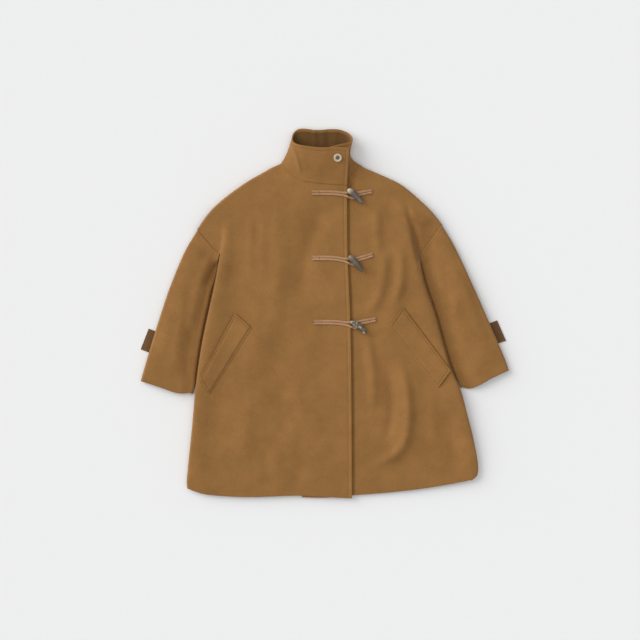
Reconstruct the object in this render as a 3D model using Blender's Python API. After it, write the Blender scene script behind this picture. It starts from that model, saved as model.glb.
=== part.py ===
"""Duffle coat laid flat, built from the pieces that a maker cuts and sews on.

The coat lies on its back on the plane z = 0. The collar points along +Y and the hem along -Y.
The wearer's right side is at -X, and its front laps over the other one.
Sizes below are millimetres, and mesh_object turns them into metres.
"""
import math

import bmesh
import bpy
import numpy as np

MM = 0.001

# ---- driving sizes, mm -------------------------------------------------------------------------
CLOTH = 2.5              # thickness of the coat's wool
SEAM = 0.3               # gap left between two pieces that are sewn or laid together
LAP_STEP = 1.7           # each front lies this far above or below their shared surface
TURN_IN = 3.0            # how far the cloth turns down along an armhole seam
BESIDE_ARMHOLE = (0.35, 0.25)  # how much the rows just above and below the armhole turn in like it
SIDE_REACH = 12.0        # sideways reach of the roll along the body's side folds
SLEEVE_REACH = 9.0       # the same along a sleeve's outer fold
INNER_REACH = 4.0        # the same along a sleeve's inner fold, which lies low beside the body
HEAD_REACH = (3.0, 2.0)  # both reaches of a sleeve where it starts at the armhole, outer and inner
HEAD_LENGTH = 0.16       # the part of a sleeve's length in which its rolls open to their full reach
UNDER_INSET = 0.45       # where a sleeve's under panel stops below its fold, as a part of that reach
FOLD_TURN = 150.0        # degrees that a rolled edge turns through, down to the panel below
SEAM_TURN = 95.0         # degrees that an edge turns through where it is sewn at the armhole
SEAM_DIP = 1.6           # how far the sleeve's edge sinks at the armhole seam
SEAM_ROOM = 1.1          # room in plan that the sleeve's sloping seam edge needs
REST = 0.1               # room above the gap for an edge that stands on the panel below
BESIDE_SEAM = 1.5        # room between a sleeve's inner edge and the body's outline at the armhole
UNDER_FOLD = 0.9         # further down it lies this far under the body's side fold
UNDERLAP_X = -54.0       # hidden edge of the front that lies below
BACK_INSET = 7.0         # the back panel stops this far inside the side folds
LEATHER = 2.0            # thickness of the leather thongs
THONG_WIDTH = 5.0
STRAP_ROOM = 0.2         # thongs stand this much further off the folds that they lie on
WELT_ROOM = 0.6          # and the welts this much
THONG_PITCH = 6.2        # distance between the middles of two thongs laid side by side
BUTTON_DIAMETER = 20.0
BUTTON_THICKNESS = 3.2
BUTTON_ROOM = 0.1        # a flat button stands this much further off the curved collar
# The button's section from its edge at the back, over the rim, to the dished middle: how far each
# ring lies inside the rim, and its height.
BUTTON_PROFILE = [(0.8, 0.0), (0.0, 0.9), (0.0, BUTTON_THICKNESS - 0.7), (0.8, BUTTON_THICKNESS),
                  (2.2, BUTTON_THICKNESS), (3.6, BUTTON_THICKNESS - 0.9)]
TAB_THICKNESS = 2.5

# ---- outlines of the pieces, mm, as (x, y) rows --------------------------------------------------
NECK_SEAM = {
    "right": [(54.0, 303.0), (-3.6, 307.2), (-55.2, 313.5), (-80.0, 331.0), (-104.4, 359.0)],
    "left": [(87.6, 353.0), (62.0, 327.5), (38.0, 311.5), (-3.6, 307.6), (UNDERLAP_X, 311.0)],
}
SHOULDER = {
    "right": [(-104.4, 361.5), (-142.8, 338.4), (-181.2, 316.8), (-219.6, 290.4), (-258.0, 259.2),
              (-284.0, 230.0), (-304.1, 199.2)],
    "left": [(87.6, 355.0), (106.8, 343.2), (145.2, 326.4), (183.6, 307.2), (222.0, 276.0),
             (256.0, 243.0), (280.8, 211.4)],
}
ARMHOLE = {
    "right": [(-304.1, 199.2), (-277.0, 168.0), (-248.9, 139.7)],
    "left": [(280.8, 211.4), (254.0, 175.0), (226.0, 140.0)],
}
SIDE_FOLD = {
    "right": [(-248.9, 139.7), (-265.7, 56.9), (-291.8, -65.5), (-307.2, -166.6), (-318.0, -280.8),
              (-330.0, -400.8), (-329.0, -420.0)],
    "left": [(226.0, 140.0), (236.4, 81.6), (262.3, 4.8), (300.5, -126.7), (325.2, -181.9),
             (342.0, -242.4), (356.4, -300.0), (367.5, -362.0), (366.0, -388.0), (354.0, -399.5)],
}
HEM = {
    "right": [(66.0, -444.0), (-8.4, -440.5), (-66.0, -437.5), (-178.8, -440.6), (-258.0, -436.8),
              (-296.4, -431.5), (-329.0, -420.0)],
    "left": [(UNDERLAP_X, -442.0), (8.0, -442.4), (68.4, -437.0), (145.2, -430.8), (222.0, -422.4),
             (298.8, -410.4), (354.0, -399.5)],
}
FRONT_EDGE = {
    "right": [(54.0, 303.0), (55.0, 148.8), (61.7, -16.8), (64.3, -172.8), (66.0, -444.0)],
    "left": [(UNDERLAP_X, 311.0), (UNDERLAP_X, 100.0), (UNDERLAP_X, -150.0), (UNDERLAP_X, -442.0)],
}
SLEEVE_FOLD = {
    "right": [(-304.1, 199.2), (-334.8, 146.4), (-370.8, 60.0), (-399.6, -26.4), (-426.0, -112.8),
              (-440.4, -163.2)],
    "left": [(280.8, 211.4), (310.8, 160.8), (351.6, 74.4), (390.0, -12.0), (421.2, -84.0),
             (433.2, -112.8), (441.8, -137.3)],
}
# A sleeve's inner edge runs along the body's side fold down to its cuff.
SLEEVE_INNER = {
    "right": SIDE_FOLD["right"][:4] + [(-314.5, -190.0)],
    "left": SIDE_FOLD["left"][:4] + [(325.0, -177.0)],
}
CUFF = {
    "right": [(-440.4, -163.2), (-396.0, -177.5), (-350.2, -192.5), (-314.5, -190.0)],
    "left": [(441.8, -137.3), (399.6, -157.0), (372.2, -172.5), (349.2, -181.0), (325.0, -177.0)],
}
# The back's neck and hem between its corners, from the right to the left.
BACK_NECK = [(-78.0, 349.6), (-40.0, 346.2), (22.0, 345.6), (58.0, 346.6)]
BACK_HEM = [(-258.0, -433.5), (-120.0, -436.0), (66.0, -435.5), (222.0, -419.0)]

# ---- heights of the laid cloth, mm ---------------------------------------------------------------
# The mid-surface of both fronts along the coat's length.
BODY_HEIGHT = {
    "y": [-445.0, -420.0, -340.0, -200.0, 0.0, 160.0, 260.0, 310.0, 365.0],
    "height": [12.5, 14.0, 18.0, 20.0, 21.0, 21.0, 20.5, 20.0, 17.0],
}
# Ridges of the body's side folds: where each runs, how far it stands up beside the panel, and how
# far the cloth outside it falls towards the armhole.
SIDE_RIDGE = {
    "right": {
        "y": [-420.0, -300.0, -199.0, -65.5, 56.9, 139.7, 175.0, 210.0, 245.0],
        "x": [-318.0, -308.0, -299.0, -280.0, -254.0, -238.0, -231.0, -229.0, -233.0],
        "swell": [1.5, 3.0, 4.0, 5.0, 6.0, 6.5, 5.5, 3.0, 0.0],
        "fall": [0.0, 0.0, 0.0, 0.0, 0.0, 7.0, 7.0, 4.0, 0.0],
    },
    "left": {
        "y": [-400.0, -300.0, -199.0, -65.5, 56.9, 139.7, 175.0, 205.0, 245.0],
        "x": [352.0, 345.0, 322.0, 270.0, 232.0, 213.0, 206.0, 203.0, 207.0],
        "swell": [1.5, 3.0, 4.0, 5.5, 6.5, 7.0, 6.0, 3.0, 0.0],
        "fall": [0.0, 0.0, 0.0, 0.0, 0.0, 7.5, 7.0, 4.0, 0.0],
    },
}
RIDGE_WIDTH = 30.0
NECK_RISE = {"height": 8.0, "x": -6.0, "y": 322.0, "width": 78.0, "length": 46.0}

# Soft folds of the fronts and sleeves: each runs from a start to an end point and is a ridge where
# its height is above zero and a trough where it is below.
FOLD_COLUMNS = ("start_x", "start_y", "end_x", "end_y", "width", "height")
BODY_FOLDS = [
    (-205.0, 190.0, -225.0, -120.0, 30.0, -2.2),
    (-150.0, 60.0, -190.0, -400.0, 34.0, 2.4),
    (-245.0, -100.0, -270.0, -430.0, 26.0, -2.4),
    (-95.0, 120.0, -110.0, -300.0, 30.0, -1.8),
    (-30.0, -60.0, -50.0, -420.0, 30.0, 1.6),
    (110.0, 40.0, 118.0, -330.0, 28.0, -1.8),
    (160.0, 190.0, 172.0, -40.0, 32.0, 2.0),
    (205.0, -110.0, 176.0, -330.0, 26.0, 3.4),
    (262.0, -150.0, 262.0, -410.0, 30.0, -2.6),
    (-150.0, 300.0, -90.0, 200.0, 34.0, 1.8),
    (150.0, 285.0, 95.0, 190.0, 32.0, 1.6),
]
SLEEVE_FOLDS = {
    "right": [
        (-300.0, 150.0, -330.0, 20.0, 16.0, -2.4),
        (-345.0, 70.0, -400.0, -120.0, 17.0, 2.0),
        (-310.0, -20.0, -345.0, -150.0, 15.0, -2.0),
    ],
    "left": [
        (272.0, 165.0, 300.0, 40.0, 16.0, -2.4),
        (325.0, 80.0, 395.0, -110.0, 17.0, 2.0),
        (305.0, -30.0, 350.0, -140.0, 15.0, -2.0),
    ],
}
# Heights of a sleeve's upper panel along its length, from the armhole (0) to the cuff (1).
SLEEVE_HEIGHT = {
    "along": [0.0, 0.12, 0.3, 0.6, 0.85, 1.0],
    "outer": [13.0, 15.0, 17.0, 17.0, 16.0, 14.5],
    "middle": [13.5, 19.0, 21.5, 21.0, 19.0, 16.5],
    "inner": [12.0, 9.5, 8.5, 8.5, 9.0, 11.0],
}

# ---- collar: stations round the neck, from the top lap's front edge to the hidden underlap --------
COLLAR_COLUMNS = ("top_x", "top_y", "top_z", "seam_x", "seam_y", "seam_z", "pinch")
COLLAR_STATIONS = [
    (57.6, 398.4, 46.0, 54.0, 304.2, 27.6, 0.0),
    (25.2, 394.8, 47.5, 13.2, 306.8, 27.8, 0.0),
    (-10.8, 393.6, 47.0, -28.0, 310.6, 27.6, 0.0),
    (-46.8, 398.0, 44.0, -58.0, 316.6, 26.8, 0.0),
    (-67.5, 403.4, 38.0, -81.0, 333.5, 24.5, 0.0),
    (-76.5, 414.0, 27.0, -98.8, 354.6, 16.5, 3.0),
    (-73.2, 431.0, 13.5, -94.6, 355.6, 7.0, 2.0),
    (-59.0, 441.5, 5.5, -78.0, 351.0, 2.0, 0.0),
    (-20.4, 438.6, 2.4, -40.0, 347.2, 1.4, 0.0),
    (27.6, 440.4, 2.6, 22.0, 346.6, 1.4, 0.0),
    (49.2, 434.4, 7.0, 58.0, 348.0, 2.0, 0.0),
    (63.0, 424.0, 16.5, 79.0, 353.0, 7.0, 8.0),
    (66.8, 413.5, 27.0, 83.5, 352.5, 15.5, 11.0),
    (60.5, 402.0, 35.5, 63.0, 331.0, 20.0, 5.0),
    (34.0, 391.0, 40.5, 34.0, 313.0, 22.3, 0.0),
    (-6.0, 386.0, 41.0, -6.0, 309.2, 22.8, 0.0),
    (-46.8, 388.0, 38.5, UNDERLAP_X, 312.4, 22.3, 0.0),
]

# ---- welts, tabs and fasteners, mm ------------------------------------------------------------
WELT = {
    "right": [(-213.8, -0.7), (-173.3, -36.2), (-274.3, -194.4), (-296.4, -157.4)],
    "left": [(187.2, 13.9), (156.0, -31.2), (271.7, -178.8), (301.2, -137.5)],
}
CUFF_TAB = {
    "right": [(-403.2, -45.1), (-421.9, -37.7), (-441.1, -87.1), (-419.0, -96.7)],
    "left": [(395.5, -26.2), (414.2, -17.8), (435.6, -66.7), (420.5, -74.4)],
}
FASTENER_COLUMNS = ("name", "loop_x", "loop_y", "strap_x", "strap_y", "head_x", "head_y",
                    "tip_x", "tip_y", "bend")
FASTENERS = [
    ("top", -30.0, 286.8, 114.0, 291.0, 55.5, 296.0, 91.7, 261.6, 2.0),
    ("middle", -30.2, 131.2, 115.4, 139.0, 58.5, 137.5, 90.7, 99.4, 2.0),
    ("bottom", -25.4, -22.1, 122.6, -15.4, 62.5, -18.5, 101.3, -49.0, 4.5),
]
LOOP_HALF_WIDTH = 8.5    # the loop's eye, from its middle to the middle of each thong
LOOP_NECK = 34.0         # how far before its end a loop starts to open
STRAP_NECK = 12.0        # the same for a toggle's strap, whose fold stays closed
LOOP_PAST = 5.0          # how far a loop reaches past the middle of its toggle
TOGGLE_WIDTH = 12.5
TOGGLE_TAPER = 0.22      # how much thinner a toggle is at its tip, as a part of its width
COLLAR_BUTTON = (32.6, 373.7)

# ---- mesh density --------------------------------------------------------------------------------
ACROSS = 16
BACK_ACROSS = 8
ROLL_STEPS = 5
SHOULDER_ROWS = 7
ARMHOLE_ROWS = 6
SIDE_ROWS = 18
SLEEVE_ACROSS = 8
SLEEVE_ROWS = 13
UNDER_ACROSS = 4
COLLAR_AROUND = 40
COLLAR_UP = 5
THONG_STEPS = 36
BUTTON_SEGMENTS = 24
TOGGLE_SEGMENTS = 12
TOGGLE_STATIONS = 15

COLOURS = {
    "wool": ((0.296, 0.144, 0.047, 1.0), 0.9),
    "dark_wool": ((0.115, 0.058, 0.024, 1.0), 0.9),
    "leather": ((0.370, 0.200, 0.100, 1.0), 0.55),
    "horn": ((0.120, 0.090, 0.065, 1.0), 0.35),
    "shell": ((0.560, 0.500, 0.400, 1.0), 0.3),
}


# ---- curves and grids ----------------------------------------------------------------------------
def smooth_curve(points, fractions):
    """Read a smooth curve through the points at fractions of its length, from 0 to 1."""
    knots = np.asarray(points, dtype=float)
    before = 2.0 * knots[0] - knots[1]
    after = 2.0 * knots[-1] - knots[-2]
    padded = np.vstack([before, knots, after])
    dense = []
    steps = np.linspace(0.0, 1.0, 24, endpoint=False)[:, None]
    for p0, p1, p2, p3 in zip(padded[:-3], padded[1:-2], padded[2:-1], padded[3:]):
        span = np.linalg.norm(p2 - p1)
        lead = span * (p2 - p0) / (span + np.linalg.norm(p1 - p0))
        trail = span * (p3 - p1) / (span + np.linalg.norm(p3 - p2))
        cubic = 2.0 * steps ** 3 - 3.0 * steps ** 2
        dense.append((1.0 + cubic) * p1 - cubic * p2
                     + (steps ** 3 - 2.0 * steps ** 2 + steps) * lead
                     + (steps ** 3 - steps ** 2) * trail)
    dense = np.vstack(dense + [knots[-1:]])
    lengths = np.concatenate([[0.0], np.cumsum(np.linalg.norm(np.diff(dense, axis=0), axis=1))])
    wanted = np.asarray(fractions) * lengths[-1]
    return np.stack([np.interp(wanted, lengths, column) for column in dense.T], axis=1)


def even(count):
    return np.linspace(0.0, 1.0, count)


def outward_normals(line, side):
    """Normals in plan of a line, on its left (side = 1) or right (side = -1)."""
    tangent = np.gradient(line, axis=0)
    tangent /= np.linalg.norm(tangent, axis=1)[:, None]
    return side * np.stack([-tangent[:, 1], tangent[:, 0]], axis=1)


def patch(top, bottom, start, end):
    """Fill four edges in plan: rows run from start to end, from the top edge to the bottom one."""
    v = even(len(start))[:, None, None]
    u = even(len(top))[None, :, None]
    ruled_rows = (1.0 - u) * start[:, None, :] + u * end[:, None, :]
    ruled_columns = (1.0 - v) * top[None, :, :] + v * bottom[None, :, :]
    corners = ((1.0 - v) * ((1.0 - u) * top[0] + u * top[-1])
               + v * ((1.0 - u) * bottom[0] + u * bottom[-1]))
    return ruled_rows + ruled_columns - corners


def grid_normals(grid):
    along = np.gradient(grid, axis=0)
    across = np.gradient(grid, axis=1)
    normal = np.cross(across, along)
    return normal / np.linalg.norm(normal, axis=2)[:, :, None]


# ---- heights -------------------------------------------------------------------------------------
def blend(value, low, high):
    """Go smoothly from 0 at low to 1 at high."""
    t = np.clip((value - low) / (high - low), 0.0, 1.0)
    return t * t * (3.0 - 2.0 * t)


def fold_height(x, y, folds):
    """Sum of soft folds, each a bell across its line that fades out at both ends."""
    total = np.zeros(np.shape(x))
    for row in folds:
        fold = dict(zip(FOLD_COLUMNS, row))
        run = np.array([fold["end_x"] - fold["start_x"], fold["end_y"] - fold["start_y"]])
        length = np.linalg.norm(run)
        run = run / length
        from_x = x - fold["start_x"]
        from_y = y - fold["start_y"]
        along = (from_x * run[0] + from_y * run[1]) / length
        off = from_x * run[1] - from_y * run[0]
        fade = blend(along, -0.15, 0.3) * (1.0 - blend(along, 0.7, 1.15))
        total += fold["height"] * fade * np.exp(-(off / fold["width"]) ** 2)
    return total


def front_height(x, y, side):
    """Mid-surface height of a front: the wearer's right one lies above the left one."""
    height = np.interp(y, BODY_HEIGHT["y"], BODY_HEIGHT["height"])
    height = height + fold_height(x, y, BODY_FOLDS) * blend(y, -445.0, -330.0)
    rise = NECK_RISE
    height = height + rise["height"] * np.exp(-((x - rise["x"]) / rise["width"]) ** 2
                                              - ((y - rise["y"]) / rise["length"]) ** 2)
    for ridge, outside in ((SIDE_RIDGE["right"], -1.0), (SIDE_RIDGE["left"], 1.0)):
        line = np.interp(y, ridge["y"], ridge["x"])
        swell = np.interp(y, ridge["y"], ridge["swell"])
        fall = np.interp(y, ridge["y"], ridge["fall"])
        beyond = outside * (x - line)
        height = height + swell * np.exp(-(beyond / RIDGE_WIDTH) ** 2)
        height = height - (fall + swell) * blend(beyond, 0.0, 40.0)
    step = LAP_STEP if side == "right" else -LAP_STEP
    return height + step


# ---- walls ---------------------------------------------------------------------------------------
def mesh_object(name, vertices, faces, colour, sharp_angle=35.0):
    """Make a closed, outward-facing mesh object from millimetre points."""
    mesh = bpy.data.meshes.new(name)
    mesh.from_pydata([tuple(MM * float(c) for c in vertex) for vertex in vertices], [], faces)
    shape = bmesh.new()
    shape.from_mesh(mesh)
    bmesh.ops.recalc_face_normals(shape, faces=shape.faces)
    shape.to_mesh(mesh)
    shape.free()
    mesh.shade_smooth()
    mesh.set_sharp_from_angle(angle=math.radians(sharp_angle))
    coat_object = bpy.data.objects.new(name, mesh)
    bpy.context.scene.collection.objects.link(coat_object)
    mesh.materials.append(material(name, colour))
    return coat_object


def material(name, colour):
    base, roughness = COLOURS[colour]
    made = bpy.data.materials.new(name + "_" + colour)
    made.use_nodes = True
    shader = made.node_tree.nodes["Principled BSDF"]
    shader.inputs["Base Color"].default_value = base
    shader.inputs["Roughness"].default_value = roughness
    shader.inputs["Metallic"].default_value = 0.0
    made.diffuse_color = base
    return made


def wall_between(name, upper, lower, colour):
    """Close the space between two grids of equal size into one solid."""
    rows, columns, _ = upper.shape
    vertices = np.vstack([upper.reshape(-1, 3), lower.reshape(-1, 3)])
    shift = rows * columns

    def at(row, column):
        return row * columns + column

    faces = []
    for row in range(rows - 1):
        for column in range(columns - 1):
            quad = (at(row, column), at(row, column + 1), at(row + 1, column + 1), at(row + 1, column))
            first = np.linalg.norm(vertices[quad[0]] - vertices[quad[2]])
            second = np.linalg.norm(vertices[quad[1]] - vertices[quad[3]])
            turned = 0 if first <= second else 1
            corners = quad[turned:] + quad[:turned]
            for triangle in ((corners[0], corners[1], corners[2]), (corners[0], corners[2], corners[3])):
                faces.append(triangle)
                faces.append(tuple(shift + corner for corner in reversed(triangle)))
    ring = [at(0, column) for column in range(columns)]
    ring += [at(row, columns - 1) for row in range(1, rows)]
    ring += [at(rows - 1, column) for column in range(columns - 2, -1, -1)]
    ring += [at(row, 0) for row in range(rows - 2, 0, -1)]
    for here, there in zip(ring, ring[1:] + ring[:1]):
        faces.append((here, there, shift + there, shift + here))
    return mesh_object(name, vertices, faces, colour)


def wall(name, grid, thickness, colour):
    """A wall of cloth whose mid-surface is the grid."""
    half = 0.5 * thickness * grid_normals(grid)
    return wall_between(name, grid + half, grid - half, colour)


def laid_slab(name, plan, under, thickness, colour):
    """A flat strip or patch that lies on a surface: plan points raised by the height below them."""
    low = np.dstack([plan, under])
    high = low + np.array([0.0, 0.0, thickness])
    return wall_between(name, high, low, colour)


# ---- body ----------------------------------------------------------------------------------------
def body_outline(side):
    """Shoulder, armhole and side fold as one line, and how much each row is an armhole row."""
    shoulder = smooth_curve(SHOULDER[side], even(SHOULDER_ROWS + 1))
    armhole = smooth_curve(ARMHOLE[side], even(ARMHOLE_ROWS + 1))
    fold = smooth_curve(SIDE_FOLD[side], even(SIDE_ROWS + 1))
    line = np.vstack([shoulder, armhole[1:], fold[1:]])
    armhole_share = np.zeros(len(line))
    above = SHOULDER_ROWS - 1
    below = SHOULDER_ROWS + ARMHOLE_ROWS + 1
    armhole_share[above + 1:below] = 1.0
    armhole_share[[above, below]] = BESIDE_ARMHOLE
    return line, armhole_share


def front_edge_fractions():
    """Rows of a front meet its edge nearly level with where they meet the outline."""
    at_armhole_top = 0.15
    at_armhole_foot = 0.24
    first = np.linspace(0.0, at_armhole_top, SHOULDER_ROWS + 1)
    second = np.linspace(at_armhole_top, at_armhole_foot, ARMHOLE_ROWS + 1)[1:]
    third = np.linspace(at_armhole_foot, 1.0, SIDE_ROWS + 1)[1:]
    return np.concatenate([first, second, third])


def rolled(grid, outward, reach, drop, turn):
    """Extra columns that roll a grid's last column outwards and down."""
    edge = grid[:, -1, :]
    half_drop = drop / (1.0 - np.cos(turn))
    columns = [grid]
    for step in range(1, ROLL_STEPS + 1):
        angle = turn * step / ROLL_STEPS
        plan = edge[:, :2] + outward * (reach * np.sin(angle))[:, None]
        height = edge[:, 2] - half_drop * (1.0 - np.cos(angle))
        columns.append(np.column_stack([plan, height])[:, None, :])
    return np.concatenate(columns, axis=1)


def build_front(side):
    line, armhole_share = body_outline(side)
    facing = -1.0 if side == "right" else 1.0
    outward = outward_normals(line, facing)
    half = 0.5 * CLOTH
    clear = half + 0.5 * SEAM * armhole_share
    reach = SIDE_REACH + (TURN_IN - SIDE_REACH) * armhole_share
    inner_line = line - outward * (reach + clear)[:, None]

    neck = smooth_curve(NECK_SEAM[side], even(ACROSS + 1))
    if side == "left":
        neck = neck[::-1]
    hem = smooth_curve(HEM[side], even(ACROSS + 1))
    edge = smooth_curve(FRONT_EDGE[side], front_edge_fractions())
    neck = neck + (inner_line[0] - neck[-1]) * even(ACROSS + 1)[:, None] ** 4
    hem = hem + (inner_line[-1] - hem[-1]) * even(ACROSS + 1)[:, None] ** 4
    plan = patch(neck, hem, edge, inner_line)
    height = front_height(plan[:, :, 0], plan[:, :, 1], side)
    grid = np.dstack([plan, height])

    turn = np.radians(FOLD_TURN + (SEAM_TURN - FOLD_TURN) * armhole_share)
    foot = CLOTH + SEAM + half + REST
    full_drop = height[:, -1] - foot
    drop = full_drop + (TURN_IN - full_drop) * armhole_share
    return wall("front_" + side, rolled(grid, outward, reach, drop, turn), CLOTH, "wool")


def build_back():
    """The back lies flat, just inside the folds that bring the fronts down to it."""
    lines = {}
    for side, facing in (("right", -1.0), ("left", 1.0)):
        line, armhole_share = body_outline(side)
        outward = outward_normals(line, facing)
        inset = BACK_INSET + (0.5 * SEAM - BACK_INSET) * armhole_share
        lines[side] = line - outward * inset[:, None]
    columns = even(BACK_ACROSS + 1)
    top = smooth_curve([lines["right"][0], *BACK_NECK, lines["left"][0]], columns)
    hem = smooth_curve([lines["right"][-1], *BACK_HEM, lines["left"][-1]], columns)
    plan = patch(top, hem, lines["right"], lines["left"])
    return laid_slab("back", plan, np.zeros(plan.shape[:2]), CLOTH, "wool")


# ---- sleeves -------------------------------------------------------------------------------------
def sleeve_rows():
    """Row spacing along a sleeve, close together where the seam turns in at the armhole."""
    return np.concatenate([[0.0, 0.012, 0.04, 0.09], np.linspace(0.16, 1.0, SLEEVE_ROWS - 3)])


def sleeve_edges(side, rows, across, insets, seam_gap):
    """The four edges in plan of a sleeve panel that stops short of the sleeve's folds by the insets."""
    facing = -1.0 if side == "right" else 1.0
    outer = smooth_curve(SLEEVE_FOLD[side], rows)
    inner = smooth_curve(SLEEVE_INNER[side], rows)
    outer_normal = outward_normals(outer, facing)
    inner_normal = outward_normals(inner, -facing)
    outer_line = outer - outer_normal * insets[0][:, None]
    inner_line = inner - inner_normal * insets[1][:, None]
    ends = []
    for table, end, gap in ((ARMHOLE[side], 0, seam_gap), (CUFF[side], -1, 0.0)):
        length = np.linalg.norm(np.diff(np.array(table), axis=0), axis=1).sum()
        first = insets[0][end] / length
        last = 1.0 - insets[1][end] / length
        fractions = first + (last - first) * across
        line = smooth_curve(table, fractions)
        line = line + outward_normals(line, facing) * gap
        outer_line[end] = line[0]
        inner_line[end] = line[-1]
        ends.append(line)
    return ends[0], ends[1], outer_line, inner_line, outer_normal, inner_normal


def build_sleeve(side):
    half = 0.5 * CLOTH
    foot = CLOTH + SEAM + half + REST
    rows = sleeve_rows()
    across = even(SLEEVE_ACROSS + 1)
    opening = blend(rows, 0.0, HEAD_LENGTH)
    reach = HEAD_REACH[0] + (SLEEVE_REACH - HEAD_REACH[0]) * opening
    inner_reach = HEAD_REACH[1] + (INNER_REACH - HEAD_REACH[1]) * opening
    beside = BESIDE_SEAM - (BESIDE_SEAM + UNDER_FOLD) * blend(rows, 0.02, HEAD_LENGTH)
    insets = (reach + half, inner_reach + half + beside)
    edges = sleeve_edges(side, rows, across, insets, 0.5 * SEAM + SEAM_ROOM)
    seam, cuff, outer_line, inner_line, outer_normal, inner_normal = edges
    plan = patch(seam, cuff, outer_line, inner_line)

    table = SLEEVE_HEIGHT
    levels = [np.interp(rows, table["along"], table[key])[:, None] for key in ("outer", "middle", "inner")]
    share = across[None, :]
    height = (levels[0] * (1.0 - share) * (1.0 - 2.0 * share) + levels[1] * 4.0 * share * (1.0 - share)
              + levels[2] * share * (2.0 * share - 1.0))
    settle = blend(rows, 0.05, 0.25)[:, None]
    height = height + settle * fold_height(plan[:, :, 0], plan[:, :, 1], SLEEVE_FOLDS[side])
    height[0, :] -= SEAM_DIP
    grid = np.dstack([plan, height])

    turn = np.full(len(rows), math.radians(FOLD_TURN))
    with_outer = rolled(grid[:, ::-1, :], outer_normal, reach, height[:, 0] - foot, turn)[:, ::-1, :]
    inner_edge = rolled(grid, inner_normal, inner_reach, height[:, -1] - foot, turn)
    whole = np.concatenate([with_outer, inner_edge[:, SLEEVE_ACROSS + 1:, :]], axis=1)
    wall("sleeve_" + side + "_top", whole, CLOTH, "wool")

    few = even(UNDER_ACROSS + 1)
    insets = (UNDER_INSET * reach + half, inner_reach + half + BESIDE_SEAM)
    plan = patch(*sleeve_edges(side, rows, few, insets, 0.7 * SEAM)[:4])
    laid_slab("sleeve_" + side + "_under", plan, np.zeros(plan.shape[:2]), CLOTH, "wool")


# ---- collar --------------------------------------------------------------------------------------
def collar_grid():
    """Rows run up the collar and columns run round it."""
    stations = smooth_curve(COLLAR_STATIONS, even(COLLAR_AROUND + 1))
    column = dict(zip(COLLAR_COLUMNS, stations.T))
    top = np.column_stack([column["top_x"], column["top_y"], column["top_z"]])
    seam = np.column_stack([column["seam_x"], column["seam_y"], column["seam_z"]])
    middle = seam[:, :2].mean(axis=0)
    rows = []
    for up in even(COLLAR_UP + 1):
        line = seam + (top - seam) * up
        inward = middle - line[:, :2]
        inward /= np.linalg.norm(inward, axis=1)[:, None]
        line[:, :2] += inward * (column["pinch"] * 4.0 * up * (1.0 - up))[:, None]
        rows.append(line)
    return np.array(rows)


def build_collar():
    return wall("collar", collar_grid(), CLOTH, "wool")


def on_top_lap(x, y):
    """The point and upward normal of the collar's top lap at a place in plan."""
    grid = collar_grid()[:, :COLLAR_AROUND // 4]
    normals = grid_normals(grid)
    normals = normals * np.sign(normals[:, :, 2:])
    order = slice(None, None, -1)
    found = []
    for row, row_normals in zip(grid, normals):
        columns = np.column_stack([row, row_normals])[order]
        found.append([np.interp(x, columns[:, 0], column) for column in columns.T])
    found = np.array(found)
    place = [np.interp(y, found[:, 1], column) for column in found.T]
    return np.array(place[:3]), np.array(place[3:]) / np.linalg.norm(place[3:])


def build_collar_button():
    centre, normal = on_top_lap(*COLLAR_BUTTON)
    base = centre + normal * (0.5 * CLOTH + SEAM + BUTTON_ROOM)
    side = np.cross(normal, [0.0, 1.0, 0.0])
    side /= np.linalg.norm(side)
    other = np.cross(normal, side)
    rings = []
    for inset, height in BUTTON_PROFILE:
        radius = 0.5 * BUTTON_DIAMETER - inset
        rings.append(ring_of_points(base + normal * height, side, other, radius, BUTTON_SEGMENTS))
    middle = base + normal * BUTTON_PROFILE[-1][1]
    solid_of_rings("collar_button", base, rings, middle, "shell")


def ring_of_points(centre, side, other, radius, segments):
    angles = 2.0 * math.pi * even(segments + 1)[:-1, None]
    return centre + radius * (side * np.cos(angles) + other * np.sin(angles))


def solid_of_rings(name, first, rings, last, colour):
    """Join rings of equal size into one solid that is closed by a point at each end."""
    segments = len(rings[0])
    vertices = np.vstack([[first], *rings, [last]])
    top = 1 + (len(rings) - 1) * segments
    faces = []
    for index in range(segments):
        following = (index + 1) % segments
        faces.append((0, 1 + index, 1 + following))
        for low in range(1, top, segments):
            high = low + segments
            faces.append((low + index, low + following, high + following, high + index))
        faces.append((top + index, len(vertices) - 1, top + following))
    return mesh_object(name, vertices, faces, colour)


# ---- welts, tabs, loops, straps and toggles --------------------------------------------------------
def top_of_front(x, y, side):
    return front_height(x, y, side) + 0.5 * CLOTH + SEAM


def build_welt(side):
    top, right, bottom, left = [np.array(corner) for corner in WELT[side]]
    along = even(13)[:, None, None]
    across = even(4)[None, :, None]
    plan = ((1.0 - along) * ((1.0 - across) * top + across * right)
            + along * ((1.0 - across) * left + across * bottom))
    under = top_of_front(plan[:, :, 0], plan[:, :, 1], side) + WELT_ROOM
    laid_slab("pocket_welt_" + side, plan, under, CLOTH, "wool")


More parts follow.
